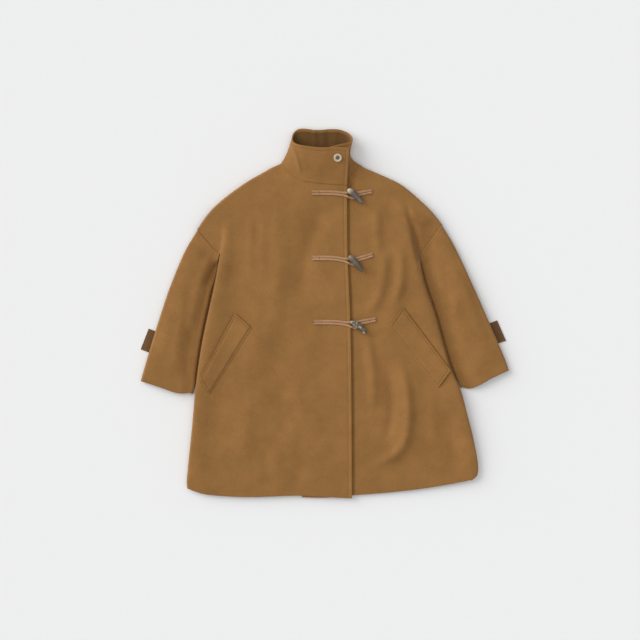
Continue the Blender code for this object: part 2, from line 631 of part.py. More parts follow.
def build_cuff_tab(side):
    """A tab that is caught between a sleeve's two panels and lies on the table beside it."""
    upper_inner, upper_outer, lower_outer, lower_inner = [np.array(corner) for corner in CUFF_TAB[side]]
    facing = -1.0 if side == "right" else 1.0
    rows = sleeve_rows()
    reach = HEAD_REACH[0] + (SLEEVE_REACH - HEAD_REACH[0]) * blend(rows, 0.0, HEAD_LENGTH)
    insets = (UNDER_INSET * reach + 0.5 * CLOTH, reach)
    under_edge = sleeve_edges(side, rows, even(UNDER_ACROSS + 1), insets, 0.0)[2]
    along = even(5)[:, None]
    inner = (1.0 - along) * upper_inner + along * lower_inner
    outer = (1.0 - along) * upper_outer + along * lower_outer
    reached = np.interp(-inner[:, 1], -under_edge[:, 1], under_edge[:, 0])
    inner[:, 0] = reached + facing * 1.15 * SEAM
    across = even(3)[None, :, None]
    plan = (1.0 - across) * inner[:, None, :] + across * outer[:, None, :]
    laid_slab("cuff_tab_" + side, plan, np.zeros(plan.shape[:2]), TAB_THICKNESS, "dark_wool")


def thong_path(start, finish, eye, neck):
    """Middle line of a thong folded in two, whose fold opens into an eye of the given half width."""
    start = np.array(start)
    finish = np.array(finish)
    length = np.linalg.norm(finish - start)
    run = (finish - start) / length
    side = np.array([-run[1], run[0]])
    straight = 0.5 * THONG_PITCH
    widest = length - eye
    distance = np.concatenate([[0.0], np.linspace(length - neck, widest, 7)])
    half = straight + (eye - straight) * blend(distance, length - neck, widest)
    turn = np.radians(np.linspace(75.0, 0.0, 6))
    distance = np.concatenate([distance, widest + eye * np.cos(turn)])
    half = np.concatenate([half, eye * np.sin(turn)])
    out = start + distance[:, None] * run + half[:, None] * side
    back = start + distance[:-1, None] * run - half[:-1, None] * side
    return np.vstack([out, back[::-1]])


def build_thong(name, path, height_under):
    line = smooth_curve(path, even(THONG_STEPS + 1))
    normal = outward_normals(line, 1.0)
    across = np.linspace(-0.5, 0.5, 3)[None, :, None] * THONG_WIDTH
    plan = line[:, None, :] + normal[:, None, :] * across
    laid_slab(name, plan, height_under(plan[:, :, 0], plan[:, :, 1]), LEATHER, "leather")


def strap_height(x, y):
    return top_of_front(x, y, "left") + STRAP_ROOM


def loop_height(x, y):
    """A loop lies on the upper front, and past its edge it lies on the toggle's strap."""
    edge_x, edge_y = np.array(FRONT_EDGE["right"][::-1]).T
    edge = np.interp(y, edge_y, edge_x)
    on_front = top_of_front(x, y, "right") + STRAP_ROOM
    on_strap = strap_height(x, y) + LEATHER + SEAM + STRAP_ROOM
    return on_front + (on_strap - on_front) * blend(x - edge, 2.0, 12.0)


def build_fastener(fastener):
    name = fastener["name"]
    head = np.array([fastener["head_x"], fastener["head_y"]])
    tip = np.array([fastener["tip_x"], fastener["tip_y"]])
    centre = 0.5 * (head + tip)
    start = np.array([fastener["loop_x"], fastener["loop_y"]])
    run = (centre - start) / np.linalg.norm(centre - start)
    loop = thong_path(start, centre + run * LOOP_PAST, LOOP_HALF_WIDTH, LOOP_NECK)
    build_thong("toggle_loop_" + name, loop, loop_height)
    strap_start = (fastener["strap_x"], fastener["strap_y"])
    strap = thong_path(strap_start, centre, 0.5 * THONG_PITCH, STRAP_NECK)
    build_thong("toggle_strap_" + name, strap, strap_height)
    build_toggle(fastener, head, tip)


def build_toggle(fastener, head, tip):
    """A curved horn toggle that lies on its loop."""
    run = (tip - head) / np.linalg.norm(tip - head)
    side = np.array([-run[1], run[0]])
    widest = 0.5 * TOGGLE_WIDTH
    over_loop = head + np.linspace(0.25, 0.7, 8)[:, None] * (tip - head)
    rest = float(np.max(loop_height(over_loop[:, 0], over_loop[:, 1]))) + LEATHER + SEAM + widest
    share = even(TOGGLE_STATIONS)
    bend = fastener["bend"] * (4.0 * share * (1.0 - share) - 0.5)
    plan = head + (tip - head) * share[:, None] + side * bend[:, None]
    spine = np.column_stack([plan, np.full(len(share), rest)])
    tangent = np.gradient(spine, axis=0)
    tangent /= np.linalg.norm(tangent, axis=1)[:, None]
    round_end = np.sqrt(1.0 - np.abs(2.0 * share - 1.0) ** 5)
    radii = widest * round_end * (1.0 - TOGGLE_TAPER * share)
    upward = np.array([0.0, 0.0, 1.0])
    rings = []
    for point, forward, radius in list(zip(spine, tangent, radii))[1:-1]:
        sideways = np.cross(upward, forward)
        rings.append(ring_of_points(point, sideways, upward, radius, TOGGLE_SEGMENTS))
    solid_of_rings("toggle_" + fastener["name"], spine[0], rings, spine[-1], "horn")


def build_coat():
    for old in list(bpy.data.objects):
        bpy.data.objects.remove(old, do_unlink=True)
    build_back()
    for side in ("left", "right"):
        build_front(side)
        build_sleeve(side)
        build_welt(side)
        build_cuff_tab(side)
    build_collar()
    build_collar_button()
    for row in FASTENERS:
        build_fastener(dict(zip(FASTENER_COLUMNS, row)))


build_coat()
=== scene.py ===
"""Duffle coat laid flat, dressed for its portrait from straight above.

Every cloth piece is a closed thin shell on the form of the solid that it stands for.
The tables are millimetres, in the frame's own axes: +Y towards the collar, -X the wearer's right.
"""
import math

import bpy
import numpy as np
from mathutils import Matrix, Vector


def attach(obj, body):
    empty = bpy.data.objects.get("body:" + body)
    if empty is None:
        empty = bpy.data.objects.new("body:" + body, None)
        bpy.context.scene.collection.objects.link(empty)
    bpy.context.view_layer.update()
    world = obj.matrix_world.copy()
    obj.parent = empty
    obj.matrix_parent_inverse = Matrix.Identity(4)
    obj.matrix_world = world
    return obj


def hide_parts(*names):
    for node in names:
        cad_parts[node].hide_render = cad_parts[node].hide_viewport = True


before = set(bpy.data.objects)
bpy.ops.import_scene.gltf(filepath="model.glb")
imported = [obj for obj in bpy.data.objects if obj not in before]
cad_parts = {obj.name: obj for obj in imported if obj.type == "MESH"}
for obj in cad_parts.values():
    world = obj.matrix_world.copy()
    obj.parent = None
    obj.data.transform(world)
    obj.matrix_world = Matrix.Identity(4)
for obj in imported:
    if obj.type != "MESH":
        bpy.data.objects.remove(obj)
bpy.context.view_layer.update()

bl_info = {
    "name": "Duffle coat",
    "version": (1, 0, 0),
    "blender": (4, 5, 0),
    "location": "3D View > Sidebar > Coat",
    "description": "Wool duffle coat laid flat, with leather loops, horn toggles and a collar button",
    "category": "Add Mesh",
}

MM = 0.001

# ---- driving sizes, mm ---------------------------------------------------------------------------
SEAM = 0.3               # gap between two pieces that are laid together
BUTT = 0.12              # half the gap between two pieces that are sewn edge to edge
LAP_STEP = 1.7           # each front lies this far above or below their shared surface
ARMHOLE_TURN = 40.0      # degrees that a front turns down through at the armhole seam
ARMHOLE_REACH = 3.0      # sideways reach of that turn
ARMHOLE_DROP = 0.9       # and its drop
WELD = 30.0              # the cloth follows a seam within this distance
ROLL_STEPS = 14          # columns of points in a rolled edge
RIM_STEPS = 5            # rings of points round the rounded edge of a shell
CREASE_DEPTH = 1.8       # how strongly the body's creases stand out
FOLDS_START = (-445.0, -330.0)  # the body's soft folds rise between these places above the hem
EDGE_LIFT = 1.3          # the front edge stands up this much
EDGE_LIFT_WIDTH = 8.0
EDGE_SINK = 3.4          # and the front below it sinks this much beside the edge,
EDGE_SINK_PLACE = 2.0    # deepest this far past it
EDGE_SINK_WIDTH = 4.5
SIDE_REACH = 4.5         # sideways reach of the roll along the body's side folds
SLEEVE_REACH = 6.5       # the same along a sleeve's outer fold
INNER_REACH = {"right": 9.0, "left": 4.0}  # and along its inner fold
HEAD_REACH = (3.0, 2.0)  # both reaches where the sleeve starts at the armhole, outer and inner
HEAD_LENGTH = 0.16       # the part of a sleeve's length in which its rolls open
UNDER_INSET = 0.45       # where a sleeve's under panel stops below its fold
FOLD_TURN = 150.0        # degrees that a rolled edge turns through
SEAM_DIP = 1.6           # how far a sleeve's head dips to its armhole seam
SEAM_ROOM = 1.1          # and how far off the seam it is laid before it is drawn to it
SWELL_PLACE = 21.0       # a sleeve swells this far from the body, past the hollow beside it
SWELL_WIDTH = 9.0
REST = 0.1               # room under a rolled edge, on top of the gap between two pieces
SLEEVE_ROOM = 0.2        # a sleeve stays this much higher than the edges that it rolls down to
SLEEVE_FOLDS_START = (0.05, 0.25)  # parts of a sleeve's length in which its soft folds rise,
HOLLOW_STARTS = (0.0, 0.1)         # its hollow beside the body deepens
SLOT_CLOSES = (0.85, 1.0)          # and the slot beside the body closes
BESIDE_SEAM = 0.35       # gap between a sleeve and the body's side fold at the armhole
BESIDE_BODY = 5.0        # the same farther down, where a deep slot shows between them
BESIDE_CUFF = 0.5        # and the same at the cuff, where their lines part by themselves
UNDER_BESIDE = 0.4       # gap between a sleeve's under panel and the body's side fold
UNDERLAP_X = -54.0       # hidden edge of the front that lies below
BACK_INSET = 2.5         # where the back stops inside the body's side folds
EDGE_RIM = 0.5           # how far the rounding of a cloth edge reaches in
SEWN_RIM = 0.15          # the same where two edges are sewn together
LEATHER = 2.0            # room that a thong takes up above what it lies on
THONG_WIDTH = 5.9
THONG_PITCH = 6.2        # distance between the middles of a folded thong's two sides
THONG_THIN = 0.6         # a thong's edges are this much thinner than that room
THONG_CROWN = 0.7        # and its middle is this much thicker than its edges
THONG_INSET = 1.6        # it is stitched this far inside its edges
STRAP_ROOM = 0.2         # room under a thong
WELT_ROOM = 0.6          # and under a welt
WELT_INSET = 4.5         # a welt is stitched this far inside its edges
WELT_EDGE = 0.9          # height of the ridge between the stitches and the edge
WELT_EDGE_PLACE = 0.45   # its distance from the edge, as a part of the stitches' own
WELT_EDGE_WIDTH = 1.8
WELT_SLOPE = 10.0        # its inner edge is sewn down, and sinks into the front over this width
MOUTH_DENT = 1.6         # how far the front sinks beside a welt's mouth
MOUTH_DENT_WIDTH = 4.5
MOUTH_FADE = (4.0, 6.0)  # that dent starts this far past the mouth's ends, and is full inside them
LOOP_HALF_WIDTH = 7.0    # half the width of a loop's eye
LOOP_NECK = 34.0         # a loop opens to its eye in this last part
LOOP_LEVEL = 66.0        # it runs level this far before it bends to its toggle
LOOP_BEND = 20.0         # it begins to bend this far before that,
LOOP_EARLY = 0.25        # by this part of its whole drop
LOOP_PAST = 5.0          # and ends this far past the toggle's middle line
STRAP_NECK = 12.0
TOGGLE_WIDTH = 15.5
TOGGLE_TAPER = 0.32      # a toggle's tip is thinner by this part
TOGGLE_FLATNESS = 0.8    # a toggle is a little lower than it is wide
TAB_THICKNESS = 2.5
TAB_INSET = 3.0          # a cuff tab is stitched this far inside its edges
BUTTON_THICKNESS = 3.2
BUTTON_ROOM = 0.1        # room under the button
BUTTON_WELL = 1.2        # how deep the button's middle lies below its rim
BUTTON_HOLE = 0.95       # radius of a hole
BUTTON_HOLE_PLACE = 1.55  # and its distance from the middle, each way
BUTTON_HOLE_DEPTH = 1.8
BUTTON_THREAD = 0.45     # half the thickness of the thread in the button
STITCH_INSET = 8.0       # topstitching lies this far inside the front edge and the collar's edges
STITCH_RINGS = (-62.0, -30.0, 0.0, 30.0, 62.0)  # places of a stitch's rings, as degrees
STITCH_SEGMENTS = 8
STITCH_LIFT = 0.55       # a stitch lies this part of its radius above the cloth
STITCH_FLATNESS = 1.15   # and is this many times as wide as it is high
GROOVE_DEPTH = 0.9       # how far a row of stitches pulls the cloth in
GROOVE_WIDTH = 1.8
SEAM_DENT = 0.3          # how far the cloth sinks beside the neck seam
SEAM_DENT_WIDTH = 2.2
SEAM_RIDGE = 0.8         # height of the ridge that the turned-in cloth makes beside a seam
SEAM_RIDGE_PLACE = 4.0

# ---- outlines, mm --------------------------------------------------------------------------------
FACING = {"right": -1.0, "left": 1.0}  # which way along X each side of the coat faces
NECK_SEAM = {
    "right": [(54.0, 303.0), (-3.6, 307.2), (-55.2, 313.5), (-80.0, 331.0), (-104.4, 359.0)],
    "left": [(87.6, 353.0), (62.0, 327.5), (38.0, 311.5), (-3.6, 307.6), (UNDERLAP_X, 311.0)],
}
SHOULDER = {
    "right": [(-104.4, 361.5), (-142.8, 338.4), (-181.2, 316.8), (-219.6, 290.4), (-258.0, 259.2),
              (-284.0, 230.0), (-304.1, 199.2)],
    "left": [(87.6, 355.0), (106.8, 343.2), (145.2, 326.4), (183.6, 307.2), (222.0, 276.0),
             (256.0, 243.0), (280.8, 211.4)],
}
ARMHOLE = {
    "right": [(-304.1, 199.2), (-277.0, 168.0), (-248.9, 139.7)],
    "left": [(280.8, 211.4), (254.0, 175.0), (226.0, 140.0)],
}
SIDE_FOLD = {
    "right": [(-248.9, 139.7), (-265.7, 56.9), (-291.8, -65.5), (-307.2, -166.6), (-318.0, -280.8),
              (-330.0, -400.8), (-329.0, -420.0)],
    "left": [(226.0, 140.0), (236.4, 81.6), (262.3, 4.8), (300.5, -126.7), (325.2, -181.9),
             (342.0, -242.4), (356.4, -300.0), (367.5, -362.0), (366.0, -388.0), (354.0, -399.5)],
}
HEM = {
    "right": [(66.0, -444.0), (-8.4, -440.5), (-66.0, -437.5), (-178.8, -440.6), (-258.0, -436.8),
              (-296.4, -431.5), (-329.0, -420.0)],
    "left": [(UNDERLAP_X, -442.0), (8.0, -442.4), (68.4, -437.0), (145.2, -430.8), (222.0, -422.4),
             (298.8, -410.4), (354.0, -399.5)],
}
FRONT_EDGE = {
    "right": [(54.0, 303.0), (55.0, 148.8), (61.7, -16.8), (64.3, -172.8), (66.0, -444.0)],
    "left": [(UNDERLAP_X, 311.0), (UNDERLAP_X, 100.0), (UNDERLAP_X, -150.0), (UNDERLAP_X, -442.0)],
}
SLEEVE_FOLD = {
    "right": [(-304.1, 199.2), (-334.8, 146.4), (-370.8, 60.0), (-399.6, -26.4), (-426.0, -112.8),
              (-440.4, -163.2)],
    "left": [(280.8, 211.4), (310.8, 160.8), (351.6, 74.4), (390.0, -12.0), (421.2, -84.0),
             (433.2, -112.8), (441.8, -137.3)],
}
SLEEVE_INNER = {
    "right": SIDE_FOLD["right"][:4] + [(-314.5, -190.0)],
    "left": SIDE_FOLD["left"][:4] + [(325.0, -177.0)],
}
CUFF = {
    "right": [(-440.4, -163.2), (-396.0, -177.5), (-350.2, -192.5), (-314.5, -190.0)],
    "left": [(441.8, -137.3), (399.6, -157.0), (372.2, -172.5), (349.2, -181.0), (325.0, -177.0)],
}
BACK_NECK = [(-78.0, 349.6), (-40.0, 346.2), (22.0, 345.6), (58.0, 346.6)]
BACK_HEM = [(-258.0, -433.5), (-120.0, -436.0), (66.0, -435.5), (222.0, -419.0)]

# ---- heights of the laid cloth, mm ---------------------------------------------------------------
BODY_HEIGHT = {
    "y": [-445.0, -420.0, -340.0, -200.0, 0.0, 160.0, 260.0, 310.0, 365.0],
    "height": [8.5, 11.5, 17.5, 20.0, 21.0, 21.0, 20.5, 20.0, 17.0],
}
SIDE_RIDGE = {
    "right": {
        "y": [-420.0, -300.0, -199.0, -65.5, 56.9, 139.7, 175.0, 210.0, 245.0],
        "x": [-318.0, -308.0, -299.0, -280.0, -254.0, -238.0, -231.0, -229.0, -233.0],
        "swell": [1.5, 3.0, 4.0, 5.0, 5.0, 4.0, 3.5, 2.0, 0.0],
        "fall": [0.0, 0.0, 0.0, 0.0, 0.0, 4.0, 4.0, 2.5, 0.0],
        "fall_width": 16.0,
    },
    "left": {
        "y": [-400.0, -300.0, -199.0, -65.5, 56.9, 139.7, 175.0, 205.0, 245.0],
        "x": [352.0, 345.0, 322.0, 270.0, 232.0, 213.0, 206.0, 203.0, 207.0],
        "swell": [1.5, 3.0, 4.0, 5.5, 6.5, 7.0, 6.0, 3.0, 0.0],
        "fall": [0.0, 0.0, 0.0, 0.0, 0.0, 7.5, 7.0, 4.0, 0.0],
        "fall_width": 15.0,
    },
}
RIDGE_WIDTH = 30.0
NECK_RISE = {"height": 8.0, "x": -6.0, "y": 322.0, "width": 78.0, "length": 46.0}

# Each fold runs from a start to an end point: a ridge where its height is above zero, else a trough.
FOLD_COLUMNS = ("start_x", "start_y", "end_x", "end_y", "width", "height")
BODY_FOLDS = [
    (-205.0, 190.0, -225.0, -120.0, 30.0, -2.2),
    (-150.0, 60.0, -190.0, -400.0, 34.0, 2.4),
    (-245.0, -100.0, -270.0, -430.0, 26.0, -2.4),
    (-95.0, 120.0, -110.0, -300.0, 30.0, -1.8),
    (-30.0, -60.0, -50.0, -420.0, 30.0, 1.6),
    (110.0, 40.0, 118.0, -330.0, 28.0, -1.8),
    (160.0, 190.0, 172.0, -40.0, 32.0, 2.0),
    (205.0, -110.0, 176.0, -330.0, 26.0, 3.4),
    (262.0, -150.0, 262.0, -410.0, 30.0, -2.6),
    (-150.0, 300.0, -90.0, 200.0, 34.0, 1.8),
    (150.0, 285.0, 95.0, 190.0, 32.0, 1.6),
]
# The creases that the photo shows: half width, height (a trough below zero) and a curved path.
BODY_CREASES = [
    (4.0, 1.0, [(-268.0, 248.0), (-246.0, 233.0), (-239.0, 205.0), (-240.0, 170.0), (-247.0, 135.0),
                (-262.0, 70.0)]),
    (12.0, -0.7, [(-222.0, 240.0), (-216.0, 175.0), (-222.0, 100.0), (-240.0, 30.0)]),
    (10.0, 0.7, [(-178.8, 256.8), (-176.4, 175.2), (-178.8, 67.2)]),
    (12.0, 0.8, [(-150.0, 256.8), (-145.2, 175.2), (-150.0, 55.2)]),
    (24.0, 2.3, [(-109.2, 259.2), (-106.8, 151.2), (-114.0, 31.2), (-126.0, -88.8)]),
    (24.0, -3.2, [(20.4, 280.8), (-20.4, 194.4), (-49.2, 98.4), (-58.8, -12.0)]),
    (20.0, 1.1, [(-186.0, -196.8), (-188.4, -280.8), (-202.8, -376.8)]),
    (18.0, -1.3, [(-140.4, -304.8), (-138.0, -376.8), (-130.8, -441.6)]),
    (14.0, -0.9, [(-99.6, -160.8), (-99.6, -220.8), (-92.4, -304.8)]),
    (14.0, 0.9, [(-66.0, -148.8), (-61.2, -220.8), (-58.8, -280.8)]),
    (20.0, -1.6, [(-58.8, -268.8), (-56.4, -352.8), (-63.6, -441.6)]),
    (9.0, -2.0, [(80.0, 352.0), (73.0, 335.0), (66.0, 312.0), (61.0, 286.0)]),
    (12.0, 2.2, [(123.6, 256.8), (126.0, 187.2), (128.4, 122.4)]),
    (14.0, 3.8, [(142.8, 163.2), (140.4, 91.2), (126.0, 31.2), (90.0, -7.2)]),
    (12.0, 3.4, [(176.4, 175.2), (183.6, 115.2), (178.8, 55.2), (157.2, 7.2)]),
    (13.0, 3.3, [(90.0, -36.0), (106.8, -88.8), (116.4, -160.8), (118.8, -244.8)]),
    (14.0, -2.6, [(142.8, -88.8), (157.2, -172.8), (162.0, -244.8), (147.6, -304.8),
                  (114.0, -333.6)]),
    (12.0, 4.2, [(176.4, -100.8), (195.6, -184.8), (200.4, -268.8), (183.6, -324.0), (142.8, -352.8),
                 (90.0, -367.2)]),
    (22.0, -2.8, [(291.6, -220.8), (306.0, -304.8), (313.2, -400.8)]),
    (18.0, 1.9, [(248.4, -172.8), (258.0, -256.8), (262.8, -352.8)]),
    (13.0, 4.0, [(152.4, 264.0), (188.4, 244.8), (229.2, 225.6), (262.8, 204.0)]),
    (8.0, -4.4, [(192.0, 270.0), (204.0, 230.0), (213.0, 198.0), (221.0, 166.0), (234.0, 104.0)]),
]
SLEEVE_FOLDS = {
    "right": [
        (-300.0, 150.0, -330.0, 20.0, 16.0, -2.4),
        (-345.0, 70.0, -400.0, -120.0, 17.0, 2.0),
        (-310.0, -20.0, -345.0, -150.0, 15.0, -2.0),
    ],
    "left": [
        (272.0, 165.0, 300.0, 40.0, 16.0, -2.4),
        (325.0, 80.0, 395.0, -110.0, 17.0, 2.0),
        (305.0, -30.0, 350.0, -140.0, 15.0, -2.0),
    ],
}
SLEEVE_CREASES = {
    "right": [
        (9.0, -8.0, [(-246.0, 128.0), (-262.0, 104.0), (-276.0, 80.0), (-290.0, 56.0)]),
        (11.0, 1.8, [(-332.4, 74.4), (-344.4, -12.0), (-354.0, -93.6), (-351.6, -156.0)]),
        (12.0, -2.4, [(-318.0, -12.0), (-327.6, -88.8), (-332.4, -172.8)]),
        (10.0, -1.6, [(-306.0, 122.4), (-279.6, 136.8), (-253.2, 122.4)]),
    ],
    "left": [
        (10.0, 1.6, [(327.6, 67.2), (313.2, 12.0), (298.8, -40.8)]),
        (12.0, -1.6, [(291.6, 108.0), (294.0, 31.2), (306.0, -40.8), (330.0, -117.6)]),
        (12.0, 1.4, [(306.0, 122.4), (349.2, 19.2), (382.8, -76.8)]),
    ],
}
COLLAR_FRONT_CREASES = [
    (3.5, 2.8, [(-79.2, 414.0), (-76.0, 399.0), (-70.8, 386.4), (-63.0, 360.0), (-55.3, 326.0)]),
    (14.0, -1.2, [(-40.0, 392.0), (-36.0, 360.0), (-30.0, 325.0)]),
]
COLLAR_BACK_CREASES = [
    (4.0, 1.2, [(-26.0, 452.0), (-24.0, 425.0), (-20.0, 390.0)]),
    (4.5, 1.0, [(-6.0, 452.0), (-4.0, 425.0), (-2.0, 390.0)]),
    (5.0, -1.0, [(8.0, 452.0), (10.0, 425.0), (12.0, 390.0)]),
    (5.0, 0.8, [(30.0, 452.0), (27.0, 425.0), (25.0, 390.0)]),
]
SLEEVE_HEIGHT = {
    "along": [0.0, 0.12, 0.3, 0.6, 0.85, 1.0],
    "outer": [13.0, 15.0, 17.0, 17.0, 15.0, 11.5],
    "middle": [13.5, 19.0, 21.5, 21.0, 18.5, 13.5],
    "inner": [12.0, 11.0, 12.0, 12.5, 12.0, 10.5],
}
# The hollow of each sleeve beside the body: its depth and width, and the height of the swell past it.
SLEEVE_HOLLOW = {"right": (1.0, 12.0, 1.0), "left": (12.0, 24.0, 0.0)}
# The part of a sleeve's length over which the slot between it and the body opens.
SLOT_OPENS = {"right": (0.1, 0.3), "left": (0.02, 0.16)}

# ---- collar, from the top lap's front edge round to the hidden underlap ---------------------------
COLLAR_COLUMNS = ("top_x", "top_y", "top_z", "seam_x", "seam_y", "seam_z", "pinch")
COLLAR_STATIONS = [
    (59.0, 392.6, 46.0, 54.0, 304.2, 27.6, 0.0),
    (25.2, 394.2, 47.5, 13.2, 306.8, 27.8, 0.0),
    (-10.8, 393.6, 47.0, -28.0, 310.6, 27.6, 0.0),
    (-46.8, 398.0, 44.0, -58.0, 316.6, 26.8, 0.0),
    (-67.5, 403.4, 38.0, -81.0, 333.5, 24.5, 0.0),
    (-76.5, 414.0, 27.0, -101.5, 356.2, 16.0, 3.0),
    (-73.2, 431.0, 13.5, -97.5, 356.8, 7.0, 2.0),
    (-59.0, 441.5, 5.5, -78.0, 351.0, 2.0, 0.0),
    (-20.4, 438.6, 2.4, -40.0, 347.2, 1.4, 0.0),
    (27.6, 440.4, 2.6, 22.0, 346.6, 1.4, 0.0),
    (49.2, 434.4, 7.0, 58.0, 348.0, 2.0, 0.0),
    (63.0, 424.0, 16.5, 79.0, 353.0, 7.0, 13.0),
    (66.8, 413.5, 27.0, 83.5, 352.5, 15.5, 17.0),
    (59.0, 407.0, 34.0, 63.0, 331.0, 20.0, 6.0),
    (34.0, 401.0, 40.5, 34.0, 313.0, 22.3, 0.0),
    (-6.0, 391.0, 41.0, -6.0, 309.2, 22.8, 0.0),
    (-46.8, 390.0, 38.5, UNDERLAP_X, 312.4, 22.3, 0.0),
]
BACK_LIFT = 8.0          # how far the collar's top edge stands up at the back, above its solid
BACK_SPAN = (0.36, 0.44, 0.70, 0.78)  # where that starts and ends, as fractions of the way round
LAP_END = (0.31, 0.37)   # where the top lap ends, as fractions of the way round
INSIDE_SHADE = (2.0, 9.0)  # painted shade: the collar's inside is painted darker between these depths below its top edge
FOOT_LEVEL = 4.6         # a front's neck edge follows the collar's foot down to this height

# ---- welts, tabs and fasteners, mm ---------------------------------------------------------------
# Corners of each welt: top, then round to the lower end. Its long outer edge is the pocket's mouth.
WELT = {
    "right": [(-213.8, -0.7), (-173.3, -36.2), (-274.3, -194.4), (-296.4, -157.4)],
    "left": [(187.2, 13.9), (156.0, -31.2), (271.7, -178.8), (301.2, -137.5)],
}
CUFF_TAB = {
    "right": [(-403.2, -45.1), (-421.9, -37.7), (-441.1, -87.1), (-419.0, -96.7)],
    "left": [(395.5, -26.2), (414.2, -17.8), (435.6, -66.7), (420.5, -74.4)],
}
# Loop and strap say where each reaches its toggle, from its head (0) to its tip (1).
FASTENER_COLUMNS = ("name", "loop_x", "loop_y", "strap_x", "strap_y", "head_x", "head_y",
                    "tip_x", "tip_y", "bend", "loop", "strap", "pale")
FASTENERS = [
    ("top", -30.0, 286.8, 114.0, 291.0, 55.5, 296.0, 91.7, 261.6, 2.0, 0.45, 0.38, 0.9),
    ("middle", -30.2, 131.2, 115.4, 139.0, 58.5, 137.5, 90.7, 99.4, 2.0, 0.42, 0.32, 0.2),
    ("bottom", -25.4, -22.1, 122.6, -15.4, 62.5, -18.5, 101.3, -49.0, 4.5, 0.36, 0.22, 0.0),
]
COLLAR_BUTTON = (32.2, 369.7)

# The solids' own rows: shoulder, armhole and side fold of the body, and those along a sleeve.
BODY_ROWS = np.array([0.0, 7.0, 13.0, 31.0])
SLEEVE_ROWS = np.concatenate([[0.0, 0.012, 0.04, 0.09], np.linspace(0.16, 1.0, 10)])


# ---- settings ------------------------------------------------------------------------------------
class CoatCloth(bpy.types.PropertyGroup):
    """Sizes and colours of the coat's cloth."""

    thickness: bpy.props.FloatProperty(
        name="Thickness", description="Thickness of the wool", default=0.0025, unit="LENGTH")
    mesh_step: bpy.props.FloatProperty(
        name="Mesh step", description="Distance between neighbouring points of the cloth",
        default=0.0040, unit="LENGTH")
    stitch_length: bpy.props.FloatProperty(
        name="Stitch length", description="Length of one topstitch", default=0.0034, unit="LENGTH")
    stitch_gap: bpy.props.FloatProperty(
        name="Stitch gap", description="Gap between two topstitches", default=0.0009, unit="LENGTH")
    thread_radius: bpy.props.FloatProperty(
        name="Thread radius", description="Half the thickness of the sewing thread",
        default=0.00035, unit="LENGTH")
    wool: bpy.props.FloatVectorProperty(
        name="Wool", description="Colour of the coat's wool", default=(0.338, 0.166, 0.049),
        subtype="COLOR")
    wool_shade: bpy.props.FloatVectorProperty(
        name="Wool shade", description="Colour between the wool's fibres",
        default=(0.190, 0.088, 0.022), subtype="COLOR")
    tab_wool: bpy.props.FloatVectorProperty(
        name="Tab wool", description="Colour of the cuff tabs", default=(0.165, 0.086, 0.034),
        subtype="COLOR")
    tab_shade: bpy.props.FloatVectorProperty(
        name="Tab shade", description="Colour between the cuff tabs' fibres",
        default=(0.085, 0.042, 0.016), subtype="COLOR")
    thread: bpy.props.FloatVectorProperty(
        name="Thread", description="Colour of the sewing thread", default=(0.260, 0.120, 0.036),
        subtype="COLOR")
    tab_thread: bpy.props.FloatVectorProperty(
        name="Tab thread", description="Colour of the thread on the cuff tabs",
        default=(0.480, 0.270, 0.110), subtype="COLOR")


class CoatTrim(bpy.types.PropertyGroup):
    """Sizes and colours of the leather, horn and button."""

    button_diameter: bpy.props.FloatProperty(
        name="Button", description="Diameter of the collar button", default=0.020, unit="LENGTH")
    leather: bpy.props.FloatVectorProperty(
        name="Leather", description="Colour of the thongs", default=(0.425, 0.230, 0.112),
        subtype="COLOR")
    # Darker colour of the thongs' edges: partly the cut edges' own tone, partly painted shade along the
    # sides of each strand.
    leather_edge_and_shade: bpy.props.FloatVectorProperty(
        name="Leather edge", description="Colour of the thongs' darker cut edges",
        default=(0.240, 0.115, 0.050), subtype="COLOR")
    horn: bpy.props.FloatVectorProperty(
        name="Horn", description="Main colour of the toggles", default=(0.108, 0.088, 0.066),
        subtype="COLOR")
    horn_dark: bpy.props.FloatVectorProperty(
        name="Dark horn", description="Colour of the toggles' dark streaks",
        default=(0.035, 0.026, 0.018), subtype="COLOR")
    horn_pale: bpy.props.FloatVectorProperty(
        name="Pale horn", description="Colour of the toggles' pale ends",
        default=(0.560, 0.490, 0.360), subtype="COLOR")
    shell: bpy.props.FloatVectorProperty(
        name="Shell", description="Colour of the collar button's rim", default=(0.620, 0.520, 0.380),
        subtype="COLOR")
    shell_dark: bpy.props.FloatVectorProperty(
        name="Dark shell", description="Colour of the button's clouded middle",
        default=(0.125, 0.095, 0.064), subtype="COLOR")


class CoatStage(bpy.types.PropertyGroup):
    """The floor, light and camera."""

    floor: bpy.props.FloatVectorProperty(
        name="Floor", description="Colour of the floor", default=(0.850, 0.862, 0.876),
        subtype="COLOR")
    frame_width: bpy.props.FloatProperty(
        name="Frame width", description="Width of the floor that the camera sees", default=1.536,
        unit="LENGTH")
    camera_height: bpy.props.FloatProperty(
        name="Camera height", description="Height of the camera above the floor", default=5.0,
        unit="LENGTH")
    aim: bpy.props.FloatVectorProperty(
        name="Aim", description="Point of the floor below the camera", size=2,
        default=(-0.0108, -0.0168), unit="LENGTH")
    sky: bpy.props.FloatProperty(
        name="Sky", description="Strength of the even light from all round", default=0.42)
    overhead: bpy.props.FloatProperty(
        name="Overhead", description="Strength of the soft light from above", default=0.75)
    window: bpy.props.FloatProperty(
        name="Window", description="Strength of the low soft light from the left", default=2.45)


# ---- curves and grids ----------------------------------------------------------------------------
def even(count):
    return np.linspace(0.0, 1.0, count)


def unit(vectors):
    return vectors / np.linalg.norm(vectors, axis=-1, keepdims=True)


def lengths_along(line):
    """Distance of each point of a line from the line's start."""
    return np.concatenate([[0.0], np.cumsum(np.linalg.norm(np.diff(line, axis=0), axis=1))])


